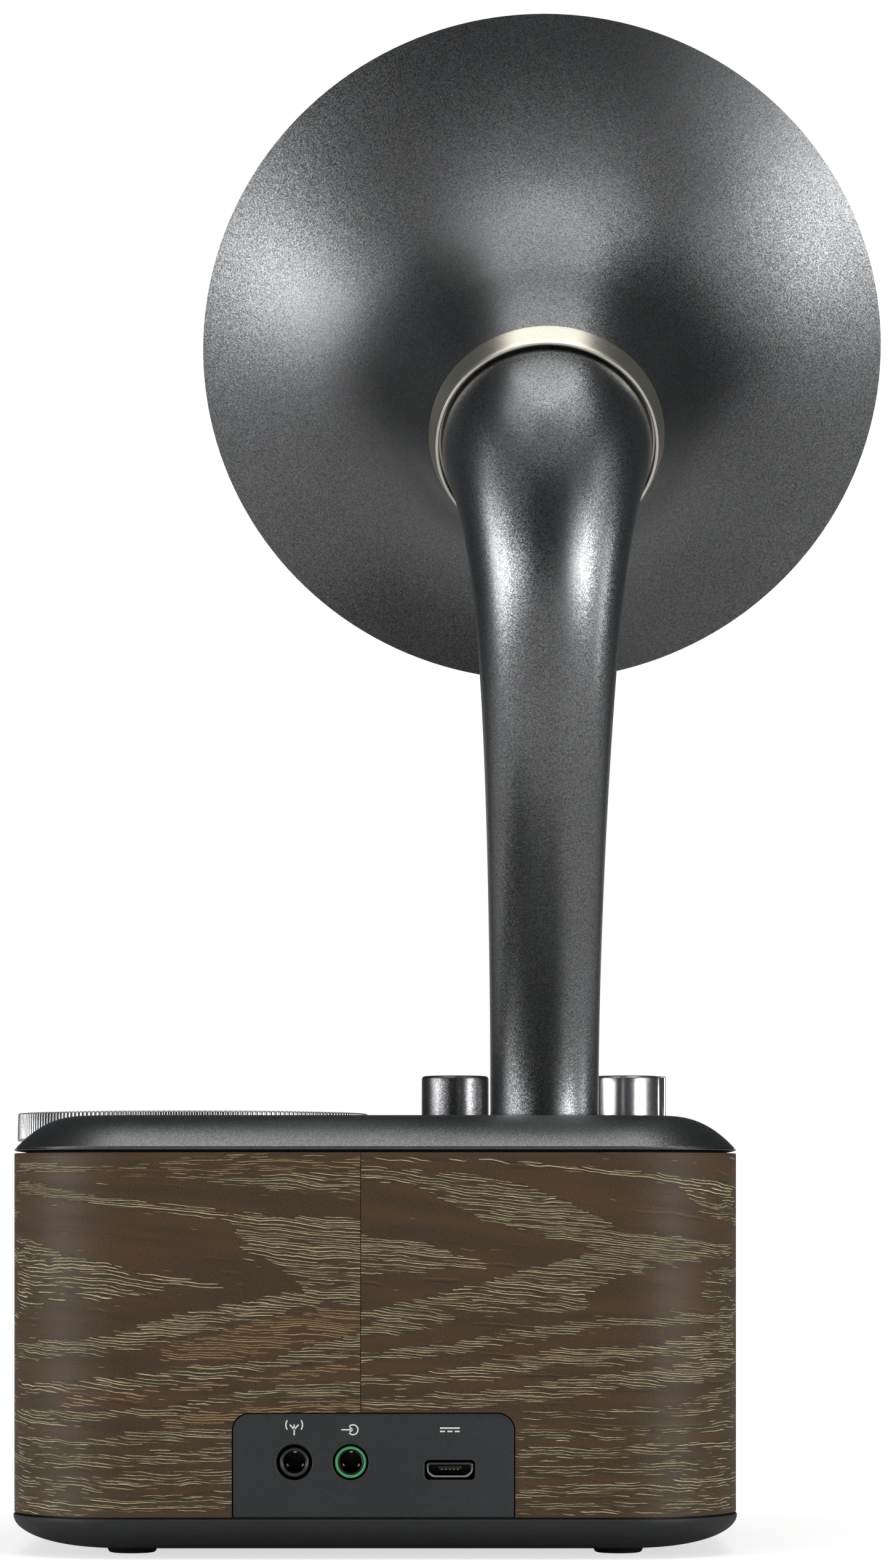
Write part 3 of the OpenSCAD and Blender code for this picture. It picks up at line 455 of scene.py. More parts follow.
def veneer_material(name):
    """open-pored oak, dark stained, with pale limed pores that follow the figure attribute"""
    n = Nodes(name)
    uv = n.node("ShaderNodeUVMap", uv_map="grain").outputs[0]
    u, v, _ = n.xyz(n.scale(uv, 1000))                     # millimetres along the wrap, and up
    fig = n.node("ShaderNodeAttribute", attribute_name="figure").outputs["Fac"]
    mid = n.node("ShaderNodeAttribute", attribute_name="fine").outputs["Fac"]
    tilt = n.node("ShaderNodeAttribute", attribute_name="lift").outputs["Fac"]

    def wave(su, sv, seed, size, detail=1):
        t = n.noise(n.vec(n.math("MULTIPLY", u, su), n.math("MULTIPLY", v, sv), seed), 1.0, detail)
        return n.math("MULTIPLY", n.math("SUBTRACT", t, 0.5), size)

    # the pores wander a little, all together
    vw = n.math("ADD", n.math("ADD", v, tilt), n.math("ADD", wave(0.06, 0.11, 3.1, 1.9), wave(0.26, 0.36, 7.7, 0.70)))

    def rows(pitch, reach, seed, density, thick, many, few, sway=0.5):
        """one pore line in each row of the given pitch: dashes with tapered ends, each with a painted shadow line just
        below it
        """
        r = n.math("DIVIDE", vw, pitch)
        k = n.math("FLOOR", r)
        f = n.math("SUBTRACT", n.math("SUBTRACT", r, k), 0.5)
        h = n.node("ShaderNodeTexWhiteNoise", {"W": n.math("ADD", k, seed)}, noise_dimensions="1D").outputs["Value"]
        shift = n.math("MULTIPLY", h, 61.0)
        along = n.noise(n.vec(n.math("MULTIPLY_ADD", u, 1.0 / reach, shift), n.math("MULTIPLY", k, 3.17), seed), 1.0, 1, 0.5)
        own = n.noise(n.vec(n.math("MULTIPLY_ADD", u, 0.30, shift), n.math("MULTIPLY", k, 1.71), seed + 3.3), 1.0, 1)
        tiny = n.noise(n.vec(n.math("MULTIPLY_ADD", u, 1.3, shift), n.math("MULTIPLY", k, 2.37), seed + 6.1), 1.0, 1)
        wig = n.math("ADD", n.math("MULTIPLY", n.math("SUBTRACT", own, 0.5), sway), n.math("MULTIPLY", n.math("SUBTRACT", h, 0.5), 0.44))
        wig = n.math("ADD", wig, n.math("MULTIPLY", n.math("SUBTRACT", tiny, 0.5), 0.22))
        thr = n.step(density, 0.0, 1.0, few, many, smooth=False)
        over = n.math("SUBTRACT", along, thr)
        width = n.math("MULTIPLY", n.step(over, 0.0, 0.10), thick)
        off = n.math("SUBTRACT", f, wig)
        near = n.math("ABSOLUTE", off)
        line = n.math("MULTIPLY", n.step(n.math("SUBTRACT", near, width), -0.10, 0.05, 1.0, 0.0), n.step(over, 0.0, 0.05))
        # painted shadow: a dark line just below each dash
        under = n.math("ABSOLUTE", n.math("ADD", off, 0.26))
        shade = n.math("MULTIPLY", n.step(n.math("SUBTRACT", under, width), -0.10, 0.14, 1.0, 0.0), n.step(over, 0.0, 0.08))
        glow = n.step(n.math("ADD", n.math("MULTIPLY", h, 0.5), tiny), 0.40, 1.00, 0.38, 1.0, smooth=False)
        return line, shade, glow

    ragged = n.noise(n.vec(n.math("MULTIPLY", u, 0.20), n.math("MULTIPLY", vw, 1.4), 11.0), 1.0, 2)
    figr = n.math("ADD", fig, n.math("MULTIPLY", n.math("SUBTRACT", ragged, 0.5), 0.50))
    pore, shade, glow = rows(0.46, 6.5, 0.0, figr, 0.165, 0.27, 0.70)
    extra, _, eglow = rows(0.73, 5.0, 80.0, figr, 0.085, 0.40, 0.78, 0.4)
    warm_d = n.math("MAXIMUM", mid, n.math("MULTIPLY", fig, 0.40))
    fine, fshade, fglow = rows(0.42, 5.0, 20.0, warm_d, 0.175, 0.27, 0.68)
    hair, _, _ = rows(0.33, 9.0, 40.0, 0.5, 0.10, 0.60, 0.60)
    lone, lshade, lglow = rows(1.7, 16.0, 60.0, 0.5, 0.034, 0.585, 0.585, 0.10)
    broad = n.noise(n.vec(n.math("MULTIPLY", u, 0.03), n.math("MULTIPLY", vw, 0.22), 2.0), 1.0, 3)
    fleck = n.noise(n.vec(n.math("MULTIPLY", u, 3.6), n.math("MULTIPLY", v, 7.0), 4.0), 1.0, 3)
    speck = n.noise(n.vec(n.math("MULTIPLY", u, 7.5), n.math("MULTIPLY", v, 9.5), 14.0), 1.0, 2)
    plain = n.mix(n.step(broad, 0.35, 0.65), BROWN_A, BROWN_B)
    olive = n.mix(n.step(ragged, 0.3, 0.7), OLIVE_A, OLIVE_B)
    base = n.mix(n.step(figr, 0.05, 0.65), plain, olive)
    base = n.vmath("SCALE", base, scale=n.math("MULTIPLY", n.step(fleck, 0.25, 0.75, 0.72, 1.28), n.step(speck, 0.25, 0.75, 0.60, 1.40)))
    base = n.mix(n.math("MULTIPLY", hair, 0.30), base, DARK_LINE)
    # painted shadow lines in the dark line colour, below each pore dash and below each lone line, the latter fading out
    # where the figure is dense
    base = n.mix(n.math("MULTIPLY", shade, 0.50), base, DARK_LINE)
    base = n.mix(n.math("MULTIPLY", n.math("MULTIPLY", lshade, n.step(figr, 0.1, 0.4, 0.55, 0.0)), 1.0), base, DARK_LINE)
    base = n.mix(n.math("MULTIPLY", n.math("MULTIPLY", lone, lglow), 0.45), base, FINE_WARM)
    warm = n.mix(n.step(fig, 0.2, 0.7), FINE_WARM, FINE_COOL)
    c = n.mix(n.math("MULTIPLY", n.math("MULTIPLY", fine, fglow), n.step(fig, 0.2, 0.7, 0.88, 0.55)), base, warm)
    c = n.mix(n.math("MULTIPLY", n.math("MULTIPLY", extra, eglow), 0.70), c, PORE_B)
    c = n.mix(n.math("MULTIPLY", pore, glow), c, n.mix(h_tone(n, u, vw), PORE_A, PORE_B))
    rr = n.fmix(pore, n.step(broad, 0.3, 0.7, 0.44, 0.50), 0.62)
    height = n.math("SUBTRACT", n.math("MULTIPLY", fleck, 0.5), n.math("ADD", pore, n.math("MULTIPLY", hair, 0.5)))
    nb = n.bump(height, 0.00003, 0.7)
    mat = n.done(c, 0.0, rr, nb)
    n.put(n.bsdf.inputs["Specular IOR Level"], 0.24)
    return mat

def h_tone(n, u, vw):
    return n.step(n.noise(n.vec(n.math("MULTIPLY", u, 0.5), n.math("MULTIPLY", vw, 2.0), 6.0), 1.0, 2), 0.3, 0.7, 0.0, 1.0)

BROWN_A = lin(89, 69, 50)
BROWN_B = lin(78, 62, 47)
OLIVE_A = lin(86, 70, 50)
OLIVE_B = lin(72, 61, 45)
# DARK_LINE is the colour of the fine dark grain lines, and also of the painted shadow below the pore dashes
DARK_LINE = lin(34, 27, 22)
FINE_WARM = lin(196, 166, 120)
FINE_COOL = lin(150, 134, 98)
PORE_A = lin(220, 206, 168)
PORE_B = lin(192, 174, 134)

HORN = (0.185, 0.187, 0.190)
M = {}
M["horn_metal"] = flake_metal("horn_metal", HORN, 0.35, 0.00015, 0.11, 0.48)
# painted light: the neck is the horn's own paint with a base 1.2 times brighter, to make its highlights brighter, and a
# lower roughness
M["neck_metal_painted_brighter"] = flake_metal("neck_metal_painted_brighter", tuple(c * 1.2 for c in HORN), 0.30, 0.00015, 0.10, 0.48)
M["lid_metal"] = flake_metal("lid_metal", (0.166, 0.169, 0.168), 0.35, 0.00011, 0.10, 0.36)
M["lid_edge"] = satin_metal("lid_edge", (0.205, 0.207, 0.210), 0.24)
M["champagne_metal"] = satin_metal("champagne_metal", (0.74, 0.71, 0.60), 0.30, 2200, 0.04)
M["champagne_polished"] = satin_metal("champagne_polished", (0.90, 0.87, 0.78), 0.12, 3000, 0.02)
M["dial_metal"] = satin_metal("dial_metal", (0.62, 0.62, 0.63), 0.22, 3200, 0.04)
M["dial_face"] = brushed_round("dial_face", (0.045, 0.046, 0.050), 0.30, (dial_x * 0.001, dial_y * 0.001, 0), 0.6)
M["knob_dark"] = flake_metal("knob_dark", (0.22, 0.22, 0.225), 0.28, 0.00012, 0.10, 0.35)
M["knob_bright"] = satin_metal("knob_bright", (0.55, 0.55, 0.56), 0.24, 3000, 0.04)
M["polished"] = satin_metal("polished", (0.86, 0.86, 0.87), 0.12, 3600, 0.02)
M["veneer"] = veneer_material("veneer")
M["core_board"] = moulded("core_board", lin(150, 118, 84), 0.85, 700, 0.00004, 0.16, 0.2)
M["plate_plastic"] = moulded("plate_plastic", lin(50, 52, 53), 0.52, 2400, 0.000012, 0.10, 0.45)
M["tray_plastic"] = moulded("tray_plastic", lin(40, 41, 42), 0.50, 1900, 0.000012, 0.10, 0.45)
M["foot_rubber"] = moulded("foot_rubber", lin(26, 26, 27), 0.78, 2600, 0.00001, 0.12, 0.3)
M["black_foam"] = moulded("black_foam", lin(14, 14, 14), 0.85, 3000, 0.00002, 0.2, 0.2)
M["mark_white"] = moulded("mark_white", lin(250, 250, 247), 0.40, 2600, 0.000003, 0.03, 0.4)
M["socket_black"] = moulded("socket_black", lin(30, 30, 31), 0.34, 2600, 0.000006, 0.08, 0.5)
M["socket_ring"] = moulded("socket_ring", lin(52, 52, 54), 0.28, 2600, 0.000004, 0.08, 0.6)
M["socket_green"] = moulded("socket_green", lin(92, 190, 128), 0.34, 2400, 0.000004, 0.05, 0.5)
M["steel"] = satin_metal("steel", (0.60, 0.60, 0.61), 0.26, 2600, 0.05)
M["usb_steel"] = satin_metal("usb_steel", (0.42, 0.42, 0.43), 0.24, 3200, 0.05)
# painted shade: a near-black copy of the USB steel for the walls inside the shell
M["usb_inside_painted_shade"] = satin_metal("usb_inside_painted_shade", (0.060, 0.060, 0.064), 0.42, 3200, 0.05)
M["contact_gold"] = satin_metal("contact_gold", (0.83, 0.64, 0.30), 0.22, 3000, 0.04)
M["pcb"] = moulded("pcb", lin(24, 74, 46), 0.38, 1300, 0.000008, 0.14, 0.5)
M["chip"] = moulded("chip", lin(34, 34, 36), 0.45, 2600, 0.000006, 0.12, 0.5)
M["shield"] = satin_metal("shield", (0.64, 0.64, 0.62), 0.32, 1800, 0.06)
M["cable_grey"] = moulded("cable_grey", lin(172, 172, 174), 0.5, 1500, 0.00001, 0.06, 0.5)
M["battery_wrap"] = moulded("battery_wrap", lin(52, 92, 146), 0.3, 1200, 0.000005, 0.05, 0.6)
M["moulded_black"] = moulded("moulded_black", lin(34, 34, 35), 0.55, 1500, 0.00002, 0.12, 0.45)
M["wire"] = moulded("wire", lin(150, 34, 28), 0.45, 2000, 0.000006, 0.08, 0.5)
M["magnet"] = moulded("magnet", lin(40, 40, 42), 0.6, 1100, 0.00002, 0.18, 0.5, 0.3)
M["paper_cone"] = moulded("paper_cone", lin(62, 60, 56), 0.9, 1400, 0.00004, 0.22, 0.2)
M["copper_coil"] = satin_metal("copper_coil", (0.80, 0.42, 0.22), 0.3, 2600, 0.10)
M["pot_body"] = satin_metal("pot_body", (0.50, 0.50, 0.48), 0.38, 1500, 0.08)

# ------------------------------------------------------------------ horn

def mixv(a, b, t):
    return (a[0] + (b[0] - a[0]) * t, a[1] + (b[1] - a[1]) * t)

def cubic(p, t):
    a, b, c = mixv(p[0], p[1], t), mixv(p[1], p[2], t), mixv(p[2], p[3], t)
    d, e = mixv(a, b, t), mixv(b, c, t)
    return mixv(d, e, t)

def unit(v):
    k = math.hypot(*v)
    return (v[0] / k, v[1] / k)

def along(p, d, k):
    return (p[0] + d[0] * k, p[1] + d[1] * k)

COLLAR_TILT, MOUTH_TILT, LEAN = math.radians(33), math.radians(24), math.radians(29)
collar_dir = (-math.cos(COLLAR_TILT), math.sin(COLLAR_TILT))
waist_dir = (math.sin(LEAN), math.cos(LEAN))
foot = (foot_y, foot_z)
waist = (foot_y + 27.4, foot_z + 64.0)
neck_end = (foot_y + 24.0, foot_z + 113.7)
low = [foot, (foot[0], foot[1] + 23.3), along(waist, waist_dir, -17.6), waist]
high = [waist, along(waist, waist_dir, 26.6), along(neck_end, collar_dir, -15.7), neck_end]

def neck_path(n):
    pts = [cubic(low, i / n) for i in range(n)] + [cubic(high, i / n) for i in range(n + 1)]
    run = [0.0]
    for a, b in zip(pts, pts[1:]):
        run.append(run[-1] + math.hypot(b[0] - a[0], b[1] - a[1]))
    return pts, run

def neck_radius(u):
    return 9.43 + 8.47 * (0.562 * u ** 2 - 0.204 * u ** 4 + 1.227 * u ** 8 - 0.585 * u ** 16)

def sweep(name, stations, m, sharp=38):
    """closed shell: stations of (y, z, dir_y, dir_z, radius) round the horn's plane"""
    verts, faces = [], []
    for y, z, dy, dz, r in stations:
        for j in range(m):
            a = 2 * PI * j / m
            verts.append((horn_x + r * math.cos(a), y + r * math.sin(a) * dz, z - r * math.sin(a) * dy))
    n = len(stations)
    for i in range(n):
        k = (i + 1) % n
        for j in range(m):
            l = (j + 1) % m
            faces.append((i * m + j, i * m + l, k * m + l, k * m + j))
    return build(name, verts, faces, sharp)

def make_neck():
    dense, run = neck_path(400)
    total = run[-1]
    n = 90
    out, idx = [], 0
    for i in range(n + 1):
        s = total * i / n
        while idx < len(run) - 2 and run[idx + 1] < s:
            idx += 1
        t = (s - run[idx]) / (run[idx + 1] - run[idx])
        p = mixv(dense[idx], dense[idx + 1], t)
        lo_i, hi_i = max(0, idx - 2), min(len(dense) - 1, idx + 3)
        d = unit((dense[hi_i][0] - dense[lo_i][0], dense[hi_i][1] - dense[lo_i][1]))
        out.append((p, d, neck_radius(i / n)))
    out[0] = (out[0][0], (0.0, 1.0), out[0][2])
    out[-1] = (out[-1][0], collar_dir, out[-1][2])
    tail = along(neck_end, collar_dir, 1.8)
    outer = [(p[0], p[1], d[0], d[1], r) for p, d, r in out]
    outer += [(*along(neck_end, collar_dir, 0.9), *collar_dir, out[-1][2] + 0.1), (*along(neck_end, collar_dir, 1.65), *collar_dir, out[-1][2] + 0.13),
              (*tail, *collar_dir, out[-1][2] - 0.02)]
    inner = [(p[0], p[1], d[0], d[1], r - 1.2) for p, d, r in reversed(out)]
    inner = [(*tail, *collar_dir, out[-1][2] - 1.05)] + inner
    # a small softened edge where the tube meets the lid
    first = outer[0]
    outer[0] = (first[0], first[1] + 0.28, first[2], first[3], first[4])
    outer.insert(0, (first[0], first[1] + 0.08, first[2], first[3], first[4] - 0.09))
    outer.insert(0, (first[0], first[1], first[2], first[3], first[4] - 0.28))
    return sweep("horn_neck_tube", outer + inner, 112, 45)

BELL0, BELL_LEN, R0, SLOPE, MOUTH_R, POWER = 2.6, 53.4, 18.2, 0.384, 60.6, 3.93
RUN = BELL_LEN - BELL0

def tilt_at(d):
    t = min(1.0, max(0.0, (d - 5) / 15))
    return COLLAR_TILT - (COLLAR_TILT - MOUTH_TILT) * t * t * (3 - 2 * t)

def dir_at(d):
    return (-math.cos(tilt_at(d)), math.sin(tilt_at(d)))

def make_bell():
    k = MOUTH_R - R0 - SLOPE * RUN
    radius = lambda x: R0 + SLOPE * x + k * (x / RUN) ** POWER
    grow = lambda x: SLOPE + POWER * k / RUN * (x / RUN) ** (POWER - 1)
    n = 84
    ds = [BELL0 + RUN * (1 - (1 - i / n) ** 1.5) for i in range(n + 1)]
    pts = [along(neck_end, collar_dir, BELL0)]
    for a, b in zip(ds, ds[1:]):
        m = (a + b) / 2
        da, dm, db = dir_at(a), dir_at(m), dir_at(b)
        step = ((b - a) * (da[0] + 4 * dm[0] + db[0]) / 6, (b - a) * (da[1] + 4 * dm[1] + db[1]) / 6)
        pts.append((pts[-1][0] + step[0], pts[-1][1] + step[1]))
    outer = [(p[0], p[1], *dir_at(d), radius(d - BELL0)) for p, d in zip(pts, ds)]
    last = outer[-1]
    d = (last[2], last[3])
    rim = []
    for i in range(1, 13):
        a = math.radians(90 - 180 * i / 13)
        q, w = 0.25 + 0.80 * math.cos(a), -0.80 + 0.80 * math.sin(a)
        c = along((last[0], last[1]), d, q)
        rim.append((c[0], c[1], d[0], d[1], last[4] + w))
    inner = []
    for (y, z, dy, dz, r), dd in reversed(list(zip(outer, ds))):
        g = grow(dd - BELL0)
        c = 1 / math.sqrt(1 + g * g)
        ax = 0.9 * g * c if dd > BELL0 + 1e-6 else 0.0
        inner.append((y + ax * dy, z + ax * dz, dy, dz, r - 0.9 * (c if dd > BELL0 + 1e-6 else 1.0)))
    return sweep("horn_bell_shell", outer + rim + inner, 168, 50)

# the neck takes the brightened copy of the horn paint, which is painted light
neck = piece(make_neck(), "cabinet", "horn_metal", M["neck_metal_painted_brighter"], "horn_neck")
bell = piece(make_bell(), "cabinet", "horn_metal", M["horn_metal"], "horn_bell")

# collar ring: a satin band and a bright inner bevel, each on the horn's axis
turn = Matrix(((1, 0, 0), (0, -collar_dir[1], collar_dir[0]), (0, collar_dir[0], collar_dir[1]))).to_3x3()
turn = Matrix(((1, 0, 0), (0, collar_dir[1], collar_dir[0]), (0, -collar_dir[0], collar_dir[1])))
collar_at = (horn_x, neck_end[0], neck_end[1])
ring_profile = [(18.35, 0.30), (18.38, 0.12), (18.46, 0.03), (18.56, 0.01), (18.80, 0.01), (18.90, 0.04), (18.985, 0.14), (19.254, 1.2), (19.503, 2.2), (19.752, 3.2), (19.98, 4.12), (20.07, 4.50),
                (20.09, 4.62), (20.05, 4.72), (19.95, 4.78), (19.75, 4.80), (19.4, 4.8), (18.45, 2.5), (17.1, 2.5), (17.1, 1.9), (18.33, 1.85)]
collar = lathe("collar_ring_band", ring_profile, collar_at, matrix=turn, seg=168, sharp=32)
piece(collar, "cabinet", "champagne_metal", M["champagne_metal"], "collar_ring")
collar.data.materials.append(M["champagne_polished"])
for p in collar.data.polygons:
    c = turn.transposed() @ (Vector(p.center) * 1000 - Vector(collar_at))
    rr = math.hypot(c.x, c.y)
    if c.z < 0.62 and 18.3 < rr < 18.93:
        p.material_index = 1

# ------------------------------------------------------------------ lid

def lid_section(side_r, z0, z1, band=0.6, run=12.0, n=34):
    """bright lip, a hair-fine step, then the soft shoulder"""
    v = z1 - z0 - band
    pts = [(side_r - 0.62, z0), (side_r - 0.36, z0 + 0.01), (side_r - 0.16, z0 + 0.05), (side_r - 0.03, z0 + 0.13), (side_r, z0 + 0.20), (side_r - 0.02, z0 + 0.27), (side_r - 0.10, z0 + 0.42),
           (side_r - 0.30, z0 + 0.46), (side_r - 0.36, z0 + 0.50), (side_r - 0.36, z0 + 0.56), (side_r - 0.30, z0 + band)]
    pts += [(side_r - 0.30 - (run - 0.30) * t, z0 + band + v * (1 - (1 - t) ** 2.4)) for t in ((i / n) for i in range(1, n + 1))]
    return pts

def make_lid():
    side = 2 * (half - corner_r)
    roof = lid_z1 - 2.5
    inner_rho = 51.5 - side / 2
    skirt = 55.1 - 0.25 - side / 2          # rim that locates the lid in the cabinet
    inner = [(inner_rho, roof), (inner_rho, lid_z0 + 0.2), (skirt - 2.3, lid_z0), (skirt - 2.3, 63.6), (skirt - 2.2, 63.5), (skirt - 0.1, 63.5), (skirt, 63.6), (skirt, lid_z0)]
    sec = inner + lid_section(corner_r, lid_z0, lid_z1)
    o = loft("lid_shell", side, sec, n=22, straight=10, cap_first=True, cap_last=True)
    seat = lathe("seat", [(0, lid_z0 + 0.2), (dial_r + 3, lid_z0 + 0.2), (dial_r + 3, roof + 0.6), (0, roof + 0.6)], (dial_x, dial_y, 0), seg=96, closed=False)
    keep = loft("keep", side, [(14.0, lid_z0 - 0.4), (14.0, roof + 1.0)], n=22, straight=1)
    m = seat.modifiers.new("x", "BOOLEAN"); m.operation = "INTERSECT"; m.solver = "EXACT"; m.object = keep
    settle(seat); drop(keep)
    posts = [seat]
    for k in range(4):
        t = math.radians(45 + 90 * k)
        posts.append(lathe("post", [(0, lid_lo[2]), (2.9, lid_lo[2]), (3.0, lid_lo[2] + 0.1), (3.0, roof + 0.5), (0, roof + 0.5)], (horn_x + 21.6 * math.cos(t), 21.6 * math.sin(t), 0), seg=32, closed=False))
        posts.append(lathe("post", [(0, 62.2), (3.1, 62.2), (3.2, 62.3), (3.2, 68.2), (0, 68.2)], (47.4 * (1 if k in (0, 3) else -1), 47.4 * (1 if k < 2 else -1), 0), seg=32, closed=False))
    for q in posts:
        cut(o, [q], "UNION")
    floor_z = dial_z0 - 0.4
    recess = lathe("recess", [(0, floor_z), (dial_r + 0.5, floor_z), (dial_r + 0.7, floor_z + 0.2), (dial_r + 0.7, lid_z1 - 0.35), (dial_r + 1.05, lid_z1 + 0.02), (dial_r + 1.05, lid_z1 + 6), (0, lid_z1 + 6)],
                   (dial_x, dial_y, 0), seg=192, closed=False)
    holes = [recess,
             lathe("h1", [(0, 60), (4.6, 60), (4.6, 75), (0, 75)], (dial_x, dial_y, 0), seg=64, closed=False),
             lathe("h2", [(0, 60), (8.1, 60), (8.1, 80), (0, 80)], (horn_x, 0, 0), seg=96, closed=False),
             lathe("h3", [(0, lid_z1 - 0.4), (9.05, lid_z1 - 0.4), (9.05, 80), (0, 80)], (horn_x, 0, 0), seg=96, closed=False)]
    for lo, hi in ((vol_lo, vol_hi), (mode_lo, mode_hi)):
        cx, cy = (lo[0] + hi[0]) / 2, (lo[1] + hi[1]) / 2
        holes.append(lathe("hk", [(0, 60), (2.6, 60), (2.6, 80), (0, 80)], (cx, cy, 0), seg=48, closed=False))
    for k in range(4):
        t = math.radians(45 + 90 * k)
        holes.append(lathe("hp", [(0, 49), (1.3, 49), (1.3, 61), (0, 61)], (horn_x + 21.6 * math.cos(t), 21.6 * math.sin(t), 0), seg=24, closed=False))
        holes.append(lathe("hp", [(0, 61), (1.3, 61), (1.3, 68), (0, 68)], (47.4 * (1 if k in (0, 3) else -1), 47.4 * (1 if k < 2 else -1), 0), seg=24, closed=False))
    pocket = block("pocket", (mark_lo[0] - 0.05, mark_lo[1] - 0.05, mark_lo[2]), (mark_hi[0] + 0.05, mark_hi[1] + 0.05, mark_hi[2] + 3))
    holes.append(pocket)
    cut(o, holes, sharp=28)
    return o

lid = piece(make_lid(), "cabinet", "lid_metal", M["lid_metal"], "lid")
lid.data.materials.append(M["lid_edge"])
for p in lid.data.polygons:
    c = p.center * 1000
    if lid_z0 + 0.02 < c.z < lid_z0 + 0.43 and max(abs(c.x), abs(c.y)) > 50 and p.normal.z > -0.9 and abs(p.normal.z) < 0.9:
        p.material_index = 1

# bright white mark beside the dial, with soft edges
mark = block("dial_index_mark", mark_lo, (mark_hi[0], mark_hi[1], mark_hi[2] + 0.02), 0.08, 2)
piece(mark, "cabinet", "mark_white", M["mark_white"], "dial_index")

# black seal between lid and wood
def ring_piece(name, outer_half, outer_r, t, z0, z1):
    side = 2 * (outer_half - outer_r)
    o = loft(name, side, [(outer_r, z0), (outer_r, z1)], n=22, straight=6)
    i = loft("i", side, [(outer_r - t, z0 - 1), (outer_r - t, z1 + 1)], n=22, straight=6)
    return cut(o, [i])

# ------------------------------------------------------------------ bottom tray, feet

def make_tray():
    R = corner_r + (tray_hi[0] - half)
    side = 2 * (half - corner_r)
    z0, z1 = tray_lo[2], tray_hi[2]
    lip = 6.6
    n = 24
    run, rise = 15.0, lip - 0.3 - z0
    sec = []
    cav = 55.1 - side / 2          # locating lip
    wall = 51.9 - side / 2
    sec += [(wall, 3.4), (wall, 9.2), (wall + 0.2, 9.4), (cav - 0.2, 9.4), (cav, 9.2), (cav, 6.9), (38.5 - side / 2 + 20.0, 6.9), (38.5 - side / 2 + 20.0, lip),
            (R - 0.25, lip), (R - 0.08, lip - 0.05), (R, lip - 0.16), (R, lip - 0.3)]
    for i in range(1, n + 1):
        a = math.radians(90 * i / n)
        sec.append((R - run * (1 - math.cos(a)), lip - 0.3 - rise * math.sin(a)))
    o = loft("bottom_tray_shell", side, sec, n=22, straight=8, sharp=30)
    tools = []
    fp = (foot_hi[0] + (-foot_lo[0])) / 2 - 4.1
    for sx in (-1, 1):
        for sy in (-1, 1):
            tools.append(lathe("s", [(0, -1), (4.45, -1), (4.45, z0 + 0.02), (4.25, z0 + 0.22), (4.25, 1.9), (3.1, 1.9), (3.1, 4.5), (1.7, 4.5), (1.7, 20), (0, 20)],
                               (sx * fp, sy * fp, 0), seg=64, closed=False))
    posts = []
    for sx in (-1, 1):
        for sy in (-1, 1):
            posts.append(lathe("p", [(0, 3.2), (4.8, 3.2), (4.6, 3.6), (4.6, 9.4), (0, 9.4)], (sx * fp, sy * fp, 0), seg=48, closed=False))
    cut(o, posts, "UNION")
    cut(o, tools, sharp=30)
    return o, fp

tray, fp = make_tray()
piece(tray, "cabinet", "tray_plastic", M["tray_plastic"], "bottom_tray")

feet = []
for sx in (-1, 1):
    for sy in (-1, 1):
        r = 4.1
        prof = [(0, 0.12), (2.9, 0.12), (3.05, 0.02), (3.2, 0.0), (3.45, 0.0), (3.66, 0.05), (3.86, 0.18), (4.0, 0.36), (4.07, 0.58), (4.1, 0.85), (4.1, 1.85), (0, 1.85)]
        feet.append(lathe("f", prof, (sx * fp, sy * fp, 0), seg=72, closed=False))
feet = join("rubber_feet_pads", feet)
finish_shading(feet.data, 40)
piece(feet, "cabinet", "foot_rubber", M["foot_rubber"], "rubber_feet")

# ------------------------------------------------------------------ tuning dial

def make_dial():
    flutes, per = 216, 8
    depth = 0.35
    def wob(r, h, a):
        if r < dial_r - 0.9:
            return r
        t = (a * flutes / (2 * PI)) % 1.0
        d = abs(t - 0.5) * 2            # 0 on the rib, 1 in the groove
        return r - depth * min(1.0, max(0.0, (d - 0.62) / 0.30))
    R, z0, z1 = dial_r, dial_z0, dial_z1
    prof = [(27.9, z0), (R - 0.30, z0), (R - 0.06, z0 + 0.05), (R, z0 + 0.16), (R - 0.02, z0 + 0.60), (R - 0.13, z1 - 0.26), (R - 0.17, z1 - 0.10), (R - 0.26, z1 - 0.02),
            (R - 0.36, z1), (R - 1.55, z1), (R - 1.80, z1 - 0.10), (R - 2.0, z1 - 0.32), (R - 2.0, z1 - 1.7),
            (3.02, z1 - 1.7), (3.02, z0), (5.4, z0), (5.4, z0 + 2.2), (27.9, z0 + 2.2)]
    return lathe("tuning_dial_ring", prof, (dial_x, dial_y, 0), seg=flutes * per, wobble=wob, sharp=55)

dial = make_dial()
piece(dial, "tuning", "dial_metal", M["dial_metal"], "tuning_dial")

def make_dial_face():
    r = (dface_hi[0] - dface_lo[0]) / 2
    z0, z1 = dface_lo[2], dface_hi[2]
    prof = [(0, z0), (r, z0), (r, z1 - 0.12), (r - 0.12, z1), (r - 1.2, z1), (r - 1.3, z1 - 0.10), (r - 1.5, z1 - 0.10), (r - 1.6, z1), (9.0, z1), (0, z1)]
    o = lathe("dial_face_plate", prof, (dial_x, dial_y, 0), seg=180, closed=False, sharp=30)
    ball = bmesh.new()
    bmesh.ops.create_uvsphere(ball, u_segments=96, v_segments=64, radius=0.0104)
    me = bpy.data.meshes.new("ball"); ball.to_mesh(me); ball.free()
    b = link(bpy.data.objects.new("ball", me))
    me.transform(Matrix.Translation((dial_x * 0.001, (dial_y - 17.5) * 0.001, (dial_z1 + 9.4) * 0.001)))
    cut(o, [b], sharp=25)
    return o

dface = make_dial_face()
piece(dface, "tuning", "dial_face", M["dial_face"], "dial_face")

